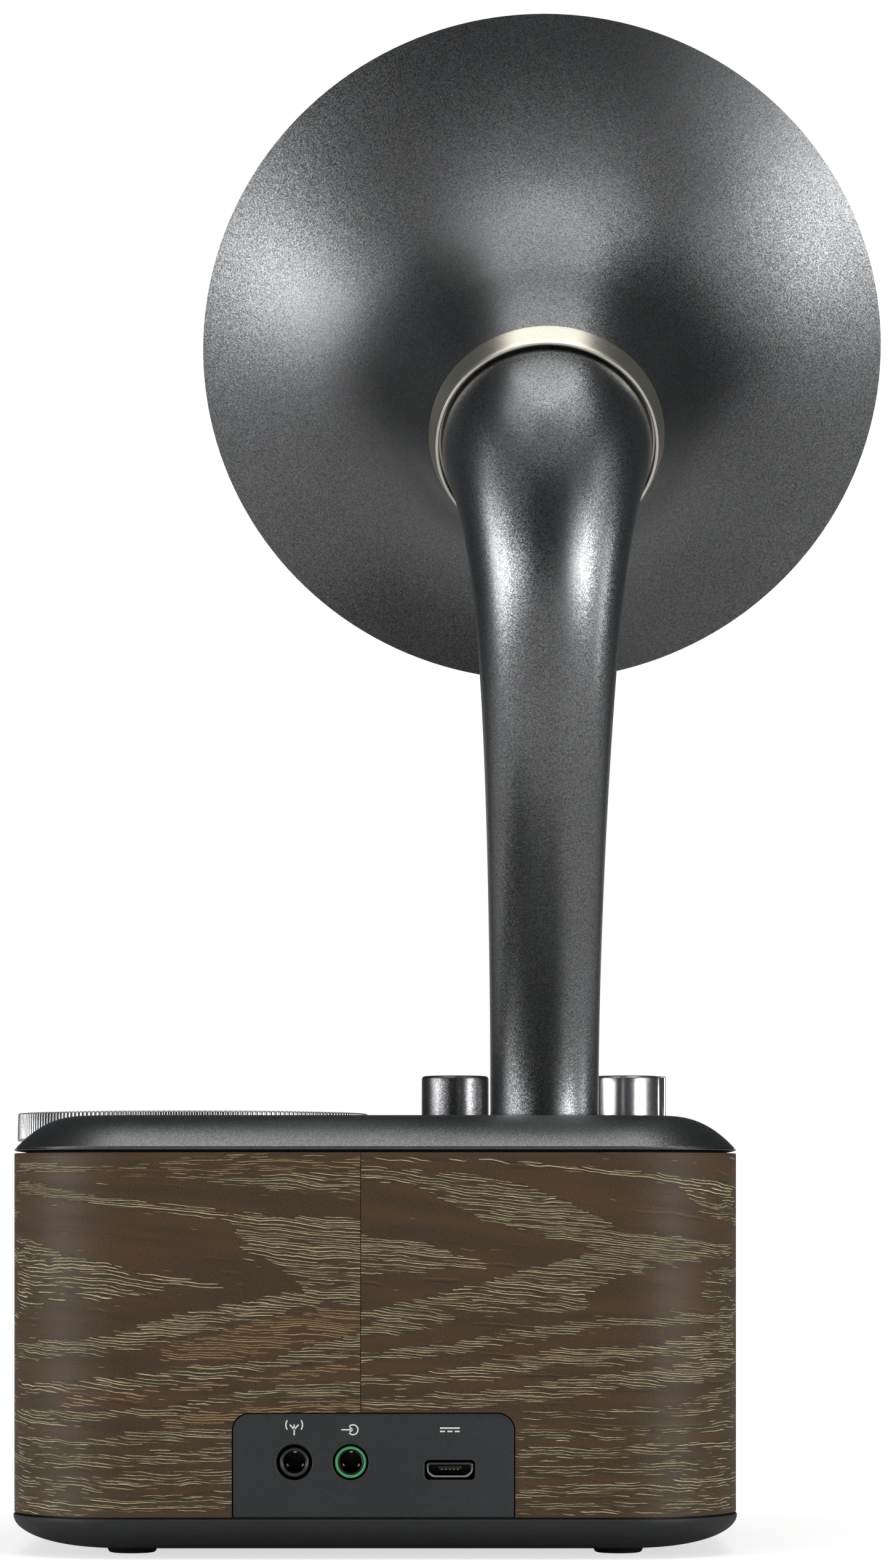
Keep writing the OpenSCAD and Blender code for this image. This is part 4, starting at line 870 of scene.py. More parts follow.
def glyphs(items, z, size, mat, name, body, thick=0.03):
    """raised numerals: (text, x, y, turn)"""
    objs = []
    for text, x, y, a in items:
        cu = bpy.data.curves.new("g", "FONT")
        cu.body = text
        cu.size = size * 0.001
        cu.align_x = "CENTER"
        cu.align_y = "CENTER"
        cu.extrude = thick * 0.0005
        cu.resolution_u = 4
        o = link(bpy.data.objects.new("g", cu))
        o.matrix_world = Matrix.Translation((x * 0.001, y * 0.001, z * 0.001)) @ Matrix.Rotation(a, 4, "Z")
        bpy.context.view_layer.update()
        dg = bpy.context.evaluated_depsgraph_get()
        me = bpy.data.meshes.new_from_object(o.evaluated_get(dg), depsgraph=dg)
        m = link(bpy.data.objects.new("gm", me))
        m.matrix_world = o.matrix_world.copy()
        bpy.data.objects.remove(o)
        bpy.data.curves.remove(cu)
        objs.append(m)
    bpy.context.view_layer.update()
    return objs

def make_scale():
    """printed scale on the dial: ticks round the edge and the FM band's numbers"""
    z = dface_hi[2]
    objs = []
    bars = []
    for i in range(0, 61):
        a = math.radians(-225 + 270 * i / 60 - 45 + 0)
        a = math.radians(90 + 135 - 270 * i / 60)
        r1 = 25.8
        r0 = 24.9 if i % 5 else 24.1
        w = 0.11 if i % 5 else 0.17
        c, s = math.cos(a), math.sin(a)
        q = [(r0, -w), (r1, -w), (r1, w), (r0, w)]
        pts = [(dial_x + u * c - v * s, dial_y + u * s + v * c) for u, v in q]
        v = [(x, y, z - 0.01) for x, y in pts] + [(x, y, z + 0.03) for x, y in pts]
        f = [(3, 2, 1, 0), (4, 5, 6, 7), (0, 1, 5, 4), (1, 2, 6, 5), (2, 3, 7, 6), (3, 0, 4, 7)]
        bars.append(build("t", v, f))
    objs += bars
    items = []
    for i, n in enumerate((88, 90, 92, 94, 96, 98, 100, 102, 104, 106, 108)):
        a = math.radians(90 + 135 - 27 * i)
        items.append((str(n), dial_x + 21.6 * math.cos(a), dial_y + 21.6 * math.sin(a), a - PI / 2))
    objs += glyphs(items, z + 0.01, 3.0, None, "n", "tuning")
    o = join("dial_scale_print", objs)
    finish_shading(o.data, 30, False)
    return o

scale_print = make_scale()
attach(scale_print, "tuning")
scale_print.data.materials.clear()
scale_print.data.materials.append(M["mark_white"])

# ------------------------------------------------------------------ knobs

def make_knob(name, lo, hi, turn_deg):
    cx, cy = (lo[0] + hi[0]) / 2, (lo[1] + hi[1]) / 2
    r, z0, z1 = 6.08, lo[2], hi[2]
    top = arc(r - 0.62, z1 - 0.60, 0.60, 0, 90, 6)
    prof = [(4.95, z0), (r - 0.32, z0), (r - 0.12, z0 + 0.07), (r - 0.02, z0 + 0.24), (r, z0 + 0.5), (r, z0 + 2.0), (r - 0.01, z1 - 1.6)]
    prof += [(x + 0.0, y) for x, y in top]
    prof += [(r - 0.95, z1), (r - 1.15, z1 - 0.07), (3.0, z1 - 0.10), (0, z1 - 0.10)]
    inner = [(0, z1 - 2.2), (1.52, z1 - 2.2), (1.52, z0 + 2.6), (4.95, z0 + 2.6)]
    o = lathe(name, prof + inner, (cx, cy, 0), seg=144, closed=True, sharp=36)
    slot = block("slot", (r - 0.5, -0.45, z0 - 1), (r + 2, 0.45, z1 + 2))
    slot2 = block("slot2", (1.0, -0.45, z1 - 0.5), (r + 2, 0.45, z1 + 2))
    spin = Matrix.Translation((cx * 0.001, cy * 0.001, 0)) @ Matrix.Rotation(math.radians(turn_deg), 4, "Z")
    for s in (slot, slot2):
        s.data.transform(spin)
    cut(o, [slot, slot2], sharp=36)
    strip = block("a", (r - 0.48, -0.43, z0), (r + 1.1, 0.43, z1), 0.36, 5)
    cap = block("b", (1.05, -0.43, z1 - 0.48), (r - 0.30, 0.43, z1 - 0.02), 0.10, 2)
    st = join(name + "_strip", [strip, cap])
    st.data.transform(spin)
    finish_shading(st.data, 36)
    return o, st

kv, kvs = make_knob("volume_knob_cap", vol_lo, vol_hi, -90)
piece(kv, "volume", "knob_dark", M["knob_dark"], "volume_knob")
piece(kvs, "volume", "polished", M["polished"], "volume_index")
km, kms = make_knob("mode_knob_cap", mode_lo, mode_hi, 180)
piece(km, "mode", "knob_bright", M["knob_bright"], "mode_knob")
piece(kms, "mode", "polished", M["polished"], "mode_index")

# ------------------------------------------------------------------ wooden wrap

# figure of the two rear panels: (density, soft top, soft bottom, [(distance from seam, depth of the upper edge, depth of the lower edge)])
LEFT = [
    (0.92, 0.2, 0.4, [(15.4, 0.1, 0.8), (23.7, 0.7, 1.5), (32.0, 1.3, 2.2), (40.2, 2.1, 3.0), (48.5, 1.9, 3.2), (56.0, 1.4, 3.1)]),
    (0.90, 1.2, 0.2, [(0.0, 3.3, 7.7), (7.1, 2.9, 7.0), (15.4, 3.6, 6.0), (23.7, 4.0, 5.0), (32.0, 3.4, 4.2), (40.2, 3.2, 3.7)]),
    (1.0, 0.25, 0.35, [(0.0, 11.0, 25.3), (7.1, 10.4, 24.4), (11.3, 10.4, 20.1), (15.4, 10.2, 17.6), (19.5, 10.1, 15.7), (21.2, 9.9, 11.2), (23.7, 9.0, 10.5), (32.0, 8.1, 9.9), (40.2, 7.7, 9.1), (48.5, 6.1, 7.5), (56.0, 4.6, 7.1)]),
    (0.85, 0.3, 3.0, [(19.1, 21.9, 22.8), (23.7, 21.6, 22.9), (27.8, 20.5, 22.8), (32.0, 20.2, 23.3), (40.2, 18.3, 24.8), (48.5, 16.5, 24.8), (56.0, 13.5, 26.9)]),
    (1.0, 0.25, 1.6, [(7.1, 22.8, 25.3), (8.8, 22.2, 25.3), (15.4, 23.5, 26.9), (23.7, 25.1, 29.8), (32.0, 26.9, 31.3), (40.2, 29.8, 33.2), (48.5, 30.6, 33.6), (56.0, 31.0, 34.4)]),
    (0.28, 0.5, 0.5, [(0.0, 0.3, 3.3), (15.4, 1.0, 3.6), (23.7, 1.6, 3.9), (32.0, 2.2, 3.4)]),
    (0.35, 0.8, 0.8, [(0.0, 25.7, 29.0), (7.1, 25.5, 31.1), (15.4, 26.9, 33.1), (23.7, 29.4, 33.5), (32.0, 31.1, 34.6)]),
    (1.0, 0.25, 1.2, [(0.0, 29.5, 34.0), (7.1, 31.4, 34.5), (15.4, 33.8, 36.1), (23.7, 34.6, 37.3), (32.0, 35.5, 38.2), (40.2, 36.6, 39.0), (48.5, 37.3, 39.4), (56.0, 37.9, 40.0)]),
    (0.3, 0.8, 0.8, [(0.0, 34.0, 35.4), (15.4, 36.1, 37.7), (32.0, 38.2, 39.8), (48.5, 39.4, 41.8)]),
    (0.95, 0.3, 1.0, [(0.0, 36.9, 39.8), (7.1, 37.5, 40.2), (15.4, 38.2, 40.2), (23.7, 39.7, 41.4), (32.0, 41.2, 43.3), (40.2, 41.8, 43.7), (48.5, 42.2, 45.1), (56.0, 42.2, 45.1)]),
    (0.35, 0.6, 0.8, [(0.0, 39.8, 42.7), (21.2, 41.4, 44.3), (32.0, 43.3, 45.1)]),
    (0.8, 0.3, 0.8, [(21.2, 45.1, 47.2), (32.0, 45.1, 47.6), (44.4, 46.4, 48.5), (56.0, 46.5, 48.7)]),
    (0.9, 0.3, 0.8, [(20.8, 48.0, 50.2), (32.0, 48.7, 51.3), (44.4, 49.1, 51.8), (56.0, 49.3, 52.0)]),
    (0.85, 0.3, 0.8, [(20.8, 51.3, 53.8), (32.0, 51.8, 54.7), (44.4, 52.7, 55.5), (56.0, 53.0, 55.6)]),
    (0.8, 0.3, 0.8, [(20.8, 54.9, 58.0), (32.0, 55.6, 58.8), (44.4, 56.2, 59.1), (56.0, 56.0, 59.2)]),
]
RIGHT = [
    (0.85, 0.4, 0.4, [(0.0, 0.6, 1.6), (7.9, 0.7, 1.4), (16.7, 0.7, 1.5), (25.5, 1.4, 2.3), (34.3, 2.1, 3.3), (43.1, 2.8, 4.3), (51.9, 3.6, 5.3), (56.3, 4.2, 10.7), (60.6, 4.6, 11.2)]),
    (0.95, 0.4, 0.2, [(0.0, 2.1, 4.7), (7.9, 2.8, 5.1), (15.8, 3.6, 9.0), (16.7, 3.6, 9.9), (22.0, 4.1, 11.7), (25.5, 5.0, 12.7), (29.9, 6.4, 14.1), (34.3, 8.3, 15.2), (38.7, 10.3, 16.0), (43.1, 12.7, 17.3), (51.9, 13.7, 17.1), (58.1, 14.7, 16.4)]),
    (1.0, 0.25, 0.6, [(0.0, 13.2, 20.0), (7.9, 14.3, 20.0), (12.3, 15.6, 19.2), (16.7, 16.9, 19.1), (21.1, 18.0, 18.6)]),
    (0.95, 0.25, 0.5, [(0.0, 25.7, 30.6), (7.9, 24.3, 29.3), (12.3, 23.1, 28.3), (16.7, 21.9, 26.8), (25.5, 19.6, 26.3), (34.3, 17.1, 26.5), (36.5, 16.8, 26.1), (37.9, 16.4, 22.6), (43.1, 15.8, 20.0), (51.9, 16.4, 17.9), (57.7, 16.0, 17.3)]),
    (0.6, 0.8, 0.8, [(55.9, 20.0, 24.3), (58.1, 19.1, 26.1), (60.6, 18.6, 26.5)]),
    (0.95, 0.25, 0.8, [(0.0, 32.5, 34.1), (7.9, 31.7, 33.6), (16.7, 30.7, 32.8), (25.5, 28.7, 31.0), (29.9, 28.2, 30.6), (38.7, 27.1, 28.8), (47.5, 26.7, 28.4), (56.3, 26.4, 28.3), (60.6, 26.1, 28.3)]),
    (0.95, 0.25, 0.8, [(0.0, 36.1, 38.2), (7.9, 35.7, 37.9), (16.7, 35.0, 37.1), (25.5, 33.1, 36.3), (34.3, 31.7, 35.0), (43.1, 31.6, 34.5), (51.9, 30.4, 33.2), (60.6, 28.7, 32.8)]),
    (0.95, 0.25, 0.8, [(0.0, 40.2, 42.1), (7.9, 39.6, 42.1), (16.7, 38.9, 41.5), (25.5, 38.2, 41.2), (34.3, 36.6, 40.1), (43.1, 35.7, 38.5), (51.9, 34.3, 38.4), (60.6, 33.1, 36.3)]),
    (0.7, 0.4, 0.8, [(25.5, 41.9, 43.7), (38.7, 41.9, 43.6), (51.9, 41.2, 43.6), (60.6, 37.5, 42.3)]),
    (0.7, 0.4, 0.8, [(25.5, 44.6, 46.8), (38.7, 45.0, 46.8), (51.9, 44.6, 46.7), (60.6, 43.6, 45.8)]),
    (0.85, 0.3, 0.8, [(25.5, 48.0, 50.0), (38.7, 47.7, 49.8), (51.9, 47.4, 49.4), (60.6, 47.1, 49.3)]),
    (0.8, 0.3, 0.8, [(25.5, 50.9, 53.4), (38.7, 50.7, 52.9), (51.9, 50.2, 52.4), (60.6, 49.8, 52.4)]),
    (0.85, 0.3, 0.8, [(25.5, 54.3, 56.4), (38.7, 53.8, 56.0), (51.9, 53.4, 55.5), (60.6, 53.1, 55.0)]),
    (0.75, 0.3, 0.6, [(25.5, 57.0, 59.2), (38.7, 56.8, 59.2), (51.9, 56.4, 59.0), (60.6, 56.1, 58.8)]),
]

# fall of the pore lines from left to right as seen from the rear, in percent, at five distances from the seam: (depth, falls)
FLOW_AT = (0.0, 15.0, 30.0, 45.0, 58.0)
LEFT_FLOW = [(0.0, (2, 1, -3, -5, -4)), (4.0, (6, 6, 5, 3, 2)), (8.0, (10, 10, 10, 9, 8)), (15.0, (8, 11, 11, 9, 8)), (21.0, (6, 9, 7, 9, 11)),
             (28.0, (5, 6, 3, 4, 12)), (35.0, (1, 3, 6, 12, 15)), (43.0, (-1, 1, 4, 10, 14)), (62.0, (0, 0, 1, 4, 10))]
RIGHT_FLOW = [(0.0, (9, 10, 9, 10, 12)), (8.0, (13, 12, 9, 10, 15)), (15.0, (11, 11, 9, 12, 15)), (21.0, (9, 6, 8, 10, 8)),
              (28.0, (8, 8, 6, 6, 8)), (35.0, (4, 6, 4, 7, 4)), (43.0, (1, 3, 3, 4, 1)), (62.0, (0, 1, 5, 3, 0))]

def fallen(table, a, d):
    """how far the pore lines fall between the seam and distance a, at depth d"""
    depths = np.array([row[0] for row in table])
    total = np.zeros_like(a)
    n = 20
    j = np.clip(np.searchsorted(depths, d) - 1, 0, len(depths) - 2)
    t = np.clip((d - depths[j]) / (depths[j + 1] - depths[j]), 0, 1)
    for i in range(n):
        at = a * (i + 0.5) / n
        vals = np.stack([np.interp(at, FLOW_AT, row[1]) for row in table])
        k = np.arange(len(a))
        total += (vals[j, k] * (1 - t) + vals[j + 1, k] * t) * a / n
    return total * 0.01

def smooth01(t):
    t = np.clip(t, 0, 1)
    return t * t * (3 - 2 * t)

def panel_figure(table, a, d):
    """pore density at distance a from the seam and depth d from the top, as arrays"""
    fig = np.zeros_like(a)
    fine = np.zeros_like(a)
    for density, st, sb, pts in table:
        xs = np.array([p[0] for p in pts])
        top = np.interp(a, xs, [p[1] for p in pts])
        bot = np.interp(a, xs, [p[2] for p in pts])
        # tapered ends where a band starts or stops inside the panel
        lo, hi = xs[0], xs[-1]
        end = np.ones_like(a)
        if lo > 1.0:
            end = end * smooth01((a - lo + 1.2) / 1.6)
        if hi < 54.0:
            end = end * smooth01((hi + 1.2 - a) / 1.6)
        up = smooth01((d - top + 0.5 * st) / max(st, 1e-3))
        dn = smooth01((bot + 0.5 * sb - d) / max(sb, 1e-3))
        inside = up * dn * end
        fade = 1.0 - 0.30 * np.clip((d - top) / np.maximum(bot - top, 0.4), 0, 1)
        if density < 0.5:
            fine = np.maximum(fine, inside * density * 2.2)
        else:
            fig = np.maximum(fig, inside * density * fade)
    return fig, fine

def wild_figure(s, d, seed):
    """cathedral figure for the sides and the front: nested arches with wandering rings"""
    n = np.array([noise.noise(Vector((x / 34.0, y / 15.0, seed))) for x, y in zip(s, d)])
    n2 = np.array([noise.noise(Vector((x / 9.0, y / 5.0, seed + 4.7))) for x, y in zip(s, d)])
    axis = 27.0 + 5.0 * np.sin(s / 60.0 + seed)
    dv = d - axis
    skew = np.where(dv > 0, 1.0, 0.62)
    r = np.sqrt(9.0 + (dv * skew) ** 2) + 0.13 * ((s + 37 * seed) % 190.0) + 3.0 * n + 0.7 * n2
    ring = r / 4.3
    k = np.floor(ring)
    f = ring - k
    wide = np.array([noise.noise(Vector((float(v) * 1.37, seed, 0.5))) for v in k])
    width = 0.50 + 0.35 * wide
    fig = smooth01(f / 0.08) * smooth01((width - f) / 0.22) * (0.95 - 0.25 * f)
    fine = smooth01(f / 0.1) * smooth01((width + 0.25 - f) / 0.3) * 0.5
    return fig, fine

def make_veneer():
    x0, y0, z0 = wood_lo
    x1, y1, z1 = wood_hi
    R = corner_r
    s_half = x1 - R                                    # where the flats end
    seam = 2.1
    gap = 0.12
    op_w, op_z, op_r = 22.9 + 0.15, 23.8 + 0.15, 2.95   # opening of the socket plate
    flat = 2 * s_half
    arc_len = PI / 2 * R
    def at(s):
        """point and outward normal on the outline, s measured from the seam towards +X"""
        start = s_half - (seam + gap / 2)
        segs = [("l", start, (seam + gap / 2, y1), (1, 0)), ("a", arc_len, (s_half, s_half), 90), ("l", flat, (x1, s_half), (0, -1)), ("a", arc_len, (s_half, -s_half), 0),
                ("l", flat, (s_half, -x1), (-1, 0)), ("a", arc_len, (-s_half, -s_half), -90), ("l", flat, (-x1, -s_half), (0, 1)), ("a", arc_len, (-s_half, s_half), -180),
                ("l", s_half + seam - gap / 2, (-s_half, y1), (1, 0))]
        for kind, length, p, q in segs:
            if s <= length + 1e-9:
                if kind == "l":
                    return p[0] + q[0] * s, p[1] + q[1] * s
                a = math.radians(q) - s / R
                return p[0] + R * math.cos(a), p[1] + R * math.sin(a)
            s -= length
        return seam - gap / 2, y1
    total = (s_half - seam - gap / 2) + 4 * arc_len + 3 * flat + (s_half + seam - gap / 2)
    # columns: exact lines at the opening's edges, the flats' ends, and about a millimetre between
    marks = [0.0, op_w - op_r - seam - gap / 2, op_w - seam - gap / 2, s_half - seam - gap / 2]
    pos = marks[-1]
    for length in (arc_len, flat, arc_len, flat, arc_len, flat, arc_len):
        pos += length
        marks.append(pos)
    end = total
    marks += [end - (op_w + seam - gap / 2), end - (op_w - op_r + seam - gap / 2), end]
    marks = sorted(marks)
    cols = [marks[0]]
    for a, b in zip(marks, marks[1:]):
        k = max(1, round((b - a) / 1.15))
        cols += [a + (b - a) * i / k for i in range(1, k + 1)]
    zm = [z0, op_z - op_r, op_z, z1]
    rows = [zm[0]]
    for a, b in zip(zm, zm[1:]):
        k = max(1, round((b - a) / 0.6))
        rows += [a + (b - a) * i / k for i in range(1, k + 1)]
    iz_r, iz_o = rows.index(op_z - op_r), rows.index(op_z)
    pts = [at(s) for s in cols]
    ids, verts, info = {}, [], []
    def vid(i, j):
        if (i, j) not in ids:
            ids[(i, j)] = len(verts)
            verts.append((pts[i][0], pts[i][1], rows[j]))
            info.append((cols[i], rows[j]))
        return ids[(i, j)]
    edge_l = min(range(len(cols)), key=lambda i: abs(cols[i] - marks[2]))
    edge_r = min(range(len(cols)), key=lambda i: abs(cols[i] - (end - (op_w + seam - gap / 2))))
    in_l = min(range(len(cols)), key=lambda i: abs(cols[i] - marks[1]))
    in_r = min(range(len(cols)), key=lambda i: abs(cols[i] - (end - (op_w - op_r + seam - gap / 2))))
    faces = []
    for i in range(len(cols) - 1):
        opening = i < edge_l or i >= edge_r
        for j in range(len(rows) - 1):
            if opening and j < iz_o:
                continue
            faces.append((vid(i, j), vid(i, j + 1), vid(i + 1, j + 1), vid(i + 1, j)))
    # the opening's two round upper corners
    for side, (c_out, c_in) in ((1, (edge_l, in_l)), (-1, (edge_r, in_r))):
        loop = [vid(c_out, j) for j in range(iz_r, iz_o + 1)]
        step = -1 if c_in < c_out else 1
        loop += [vid(i, iz_o) for i in range(c_out + step, c_in + step, step)]
        cx = side * (op_w - op_r)
        m = 14
        arc_ids = []
        for q in range(1, m):
            a = math.radians(90 - 90 * q / m)
            x = cx + side * op_r * math.cos(a)
            z = op_z - op_r + op_r * math.sin(a)
            arc_ids.append(len(verts))
            verts.append((x, y1, z))
            info.append(((x - seam - gap / 2) if side > 0 else end - (seam - gap / 2 - x), z))
        loop += arc_ids
        faces.append(tuple(loop if side > 0 else reversed(loop)))
    me = bpy.data.meshes.new("veneer_skin")
    me.from_pydata([(x * 0.001, y * 0.001, z * 0.001) for x, y, z in verts], [], faces)
    # outward faces
    bm = bmesh.new(); bm.from_mesh(me)
    flip = [f for f in bm.faces if f.normal.dot(Vector((f.calc_center_median().x, f.calc_center_median().y, 0))) < 0]
    if flip:
        bmesh.ops.reverse_faces(bm, faces=flip)
    bm.to_mesh(me); bm.free()
    info = np.array(info)
    co = np.array(verts)
    s, z = info[:, 0], info[:, 1]
    d = z1 - z
    start = s_half - seam - gap / 2
    fig = np.zeros(len(s)); fine = np.zeros(len(s)); lift = np.zeros(len(s))
    w_f, w_n = wild_figure(s, d, 1.3)
    back = co[:, 1] > 0
    left = back & (s < total / 2)
    right = back & (s > total / 2)
    a_left = co[:, 0] - seam
    a_right = seam - co[:, 0]
    lf, ln = panel_figure(LEFT, np.clip(a_left, 0, 57.9), d)
    rf, rn = panel_figure(RIGHT, np.clip(a_right, 0, 62.1), d)
    # over to the freer figure round the corner
    wl = smooth01((s - (start + 21)) / 9.0)
    wr = smooth01(((total - (s_half + seam - gap / 2) - 21) - s) / 9.0)
    fig = np.where(left, lf * (1 - wl) + w_f * wl, np.where(right, rf * (1 - wr) + w_f * wr, w_f))
    fine = np.where(left, ln * (1 - wl) + w_n * wl, np.where(right, rn * (1 - wr) + w_n * wr, w_n))
    # the pore lines run with the figure, and level out towards the front
    half_l = s < total / 2
    reach_l = np.where(back, np.clip(a_left, 0, 57.9), 57.9)
    reach_r = np.where(back, np.clip(a_right, 0, 62.1), 62.1)
    level = 1 - smooth01((np.minimum(s, total - s) - 95.0) / (total / 2 - 95.0))
    lift = np.where(half_l, -fallen(LEFT_FLOW, reach_l, d), 3.37 + fallen(RIGHT_FLOW, reach_r, d)) * level
    for name, arr in (("figure", fig), ("fine", fine), ("lift", lift)):
        at_ = me.attributes.new(name, "FLOAT", "POINT")
        at_.data.foreach_set("value", arr.astype(np.float32))
    uvl = me.uv_layers.new(name="grain")
    loops = np.zeros(len(me.loops), np.int32)
    me.loops.foreach_get("vertex_index", loops)
    uv = np.stack([s[loops] / 1000, z[loops] / 1000], 1)
    uvl.data.foreach_set("uv", uv.astype(np.float32).ravel())
    obj = link(bpy.data.objects.new("veneer_skin", me))
    m = obj.modifiers.new("thick", "SOLIDIFY")
    m.thickness = 0.0006
    m.offset = -1
    m.use_rim = True
    m.use_even_offset = True
    settle(obj)
    bm = bmesh.new(); bm.from_mesh(obj.data)
    rim = [e for e in bm.edges if all(abs(v.co.z * 1000 - z1) < 1e-3 for v in e.verts)
           and any(f.normal.z > 0.9 for f in e.link_faces) and any(abs(f.normal.z) < 0.1 and f.normal.x * f.calc_center_median().x + f.normal.y * f.calc_center_median().y > 0.02 for f in e.link_faces)]
    bmesh.ops.bevel(bm, geom=rim, offset=0.00012, segments=2, affect="EDGES", profile=0.5)
    bm.to_mesh(obj.data); bm.free()
    finish_shading(obj.data, 40)
    return obj

veneer = piece(make_veneer(), "cabinet", "veneer", M["veneer"], "veneer_wrap")

seal = ring_piece("lid_seal_strip", half - 2.0, corner_r - 2.0, 3.0, seal_lo[2], seal_hi[2])
piece(seal, "cabinet", "black_foam", M["black_foam"], "lid_seal")

# ------------------------------------------------------------------ socket plate and sockets

def make_plate():
    w, z0, z1, r = 22.9, wood_lo[2], 23.8, 2.8
    y1 = plate_hi[1]
    cu = bpy.data.curves.new("plate", "CURVE")
    cu.dimensions = "2D"
    cu.fill_mode = "BOTH"
    def poly(pts):
        sp = cu.splines.new("POLY")
        sp.points.add(len(pts) - 1)
        for p, (x, z) in zip(sp.points, pts):
            p.co = (x, z, 0, 1)
        sp.use_cyclic_u = True
    e = 0.22
    k = 18
    out = [(-w + e, z0 + e), (w - e, z0 + e)]
    out += [(w - r + (r - e) * math.cos(a), z1 - r + (r - e) * math.sin(a)) for a in [math.radians(90 * i / k) for i in range(k + 1)]]
    out += [(-w + r - (r - e) * math.sin(a), z1 - r + (r - e) * math.cos(a)) for a in [math.radians(90 * i / k) for i in range(k + 1)]]
    poly(out)
    jz = (ant_lo[2] + ant_hi[2]) / 2
    for x in (12.9, 3.74):
        poly([(x + (2.92 + e) * math.cos(2 * PI * i / 72), jz + (2.92 + e) * math.sin(2 * PI * i / 72)) for i in range(72)])
    ux, uz = (usb_lo[0] + usb_hi[0]) / 2, (usb_lo[2] + usb_hi[2]) / 2
    hw, hh, ur = 4.1 + e, 1.6 + e, 0.7 + e
    pts = []
    for q, (sx, sz) in enumerate(((1, 1), (-1, 1), (-1, -1), (1, -1))):
        for i in range(9):
            a = math.radians(90 * q + 90 * i / 8)
            pts.append((ux + sx * (hw - ur) + ur * math.cos(a), uz + sz * (hh - ur) + ur * math.sin(a)))
    poly(pts)
    cu.extrude = 0.85
    cu.bevel_depth = e
    cu.bevel_resolution = 3
    o = link(bpy.data.objects.new("plate_c", cu))
    bpy.context.view_layer.update()
    dg = bpy.context.evaluated_depsgraph_get()
    me = bpy.data.meshes.new_from_object(o.evaluated_get(dg), depsgraph=dg)
    bpy.data.objects.remove(o)
    bpy.data.curves.remove(cu)
    # curve X, Y become the plate's X and Z, and its front faces +Y
    me.transform(Matrix(((0.001, 0, 0, 0), (0, 0, 0.001, (y1 - 0.85 - e) * 0.001), (0, 0.001, 0, 0), (0, 0, 0, 1))))
    bm = bmesh.new(); bm.from_mesh(me)
    bmesh.ops.remove_doubles(bm, verts=bm.verts, dist=1e-6)
    bmesh.ops.recalc_face_normals(bm, faces=bm.faces)
    bm.to_mesh(me); bm.free()
    front = link(bpy.data.objects.new("socket_plate_front", me))
    finish_shading(me, 30)
    return front

plate = make_plate()
# flange behind the wood that the two screws pull up
flange = block("flange", (-29, plate_lo[1], 10.3), (29, plate_lo[1] + 1.7, 26.3), 0.15, 2)
jz = (ant_lo[2] + ant_hi[2]) / 2
cut(flange, [block("a", (3.74 - 3.4, plate_lo[1] - 1, 10), (12.9 + 3.4, plate_lo[1] + 2.5, 19.4)),
             block("b", (-12.4 - 4.3, plate_lo[1] - 1, 10), (-12.4 + 4.3, plate_lo[1] + 2.5, 16.6)),
             lathe("c", [(0, 40), (1.2, 40), (1.2, 60), (0, 60)], (26, 0, 21), "Y", 32, False),
             lathe("d", [(0, 40), (1.2, 40), (1.2, 60), (0, 60)], (-26, 0, 21), "Y", 32, False)])
neckpart = block("neckpart", (-21.5, plate_lo[1] + 1.5, wood_lo[2] + 0.4), (21.5, plate_hi[1] - 1.8, 22.4))
cut(neckpart, [lathe("c%d" % i, [(0, 40), (2.92, 40), (2.92, 62), (0, 62)], (x, 0, jz), "Y", 64, False) for i, x in enumerate((12.9, 3.74))]
    + [block("u", (-12.4 - 4.1, 40, 14.6 - 1.6), (-12.4 + 4.1, 62, 14.6 + 1.6)),
       block("u2", (3.74 - 3.4, plate_lo[1] - 1, 10), (12.9 + 3.4, plate_lo[1] + 2.5, 19.4)),
       block("u3", (-12.4 - 4.3, plate_lo[1] - 1, 10), (-12.4 + 4.3, plate_lo[1] + 2.5, 16.6))])
plate = join("socket_plate_panel", [plate, flange, neckpart])
finish_shading(plate.data, 30)
piece(plate, "cabinet", "plate_plastic", M["plate_plastic"], "socket_plate")

def make_socket(name, x, nose_r, face_y, lip):
    y0 = ant_lo[1]
    back = block(name + "_b", (x - 3, y0, jz - 2.9), (x + 3, 54.9, jz + 2.9), 0.2, 2)
    prof = [(nose_r - 0.35, 54.0), (nose_r, 54.3), (nose_r, face_y - 0.22), (nose_r - 0.08, face_y - 0.06), (nose_r - 0.24, face_y)]
    if lip:
        prof += [(nose_r - 0.34, face_y - 0.10), (2.02, face_y - 0.12), (1.92, face_y - 0.10), (1.86, face_y - 0.14)]
    prof += [(1.8, face_y - 0.30), (1.8, face_y - 14.3), (0, face_y - 14.3), (0, 54.0)]
    tube = lathe(name + "_t", prof, (x, 0, jz), "Y", 96, False)
    hole = lathe("h", [(0, 44.9), (1.8, 44.9), (1.8, 56), (0, 56)], (x, 0, jz), "Y", 96, False)
    cut(back, [hole])
    # contact springs a little way down the bore
    leafs = []
    for a in (0, 120, 240):
        l = block("l", (-0.28, face_y - 9.5, 1.25), (0.28, face_y - 5.0, 1.62), 0.06, 1)
        l.data.transform(Matrix.Translation((x * 0.001, 0, jz * 0.001)) @ Matrix.Rotation(math.radians(a), 4, "Y"))
        leafs.append(l)
    o = join(name, [back, tube])
    finish_shading(o.data, 34)
    sp = join(name + "_contacts", leafs)
    finish_shading(sp.data, 34)
    return o, sp

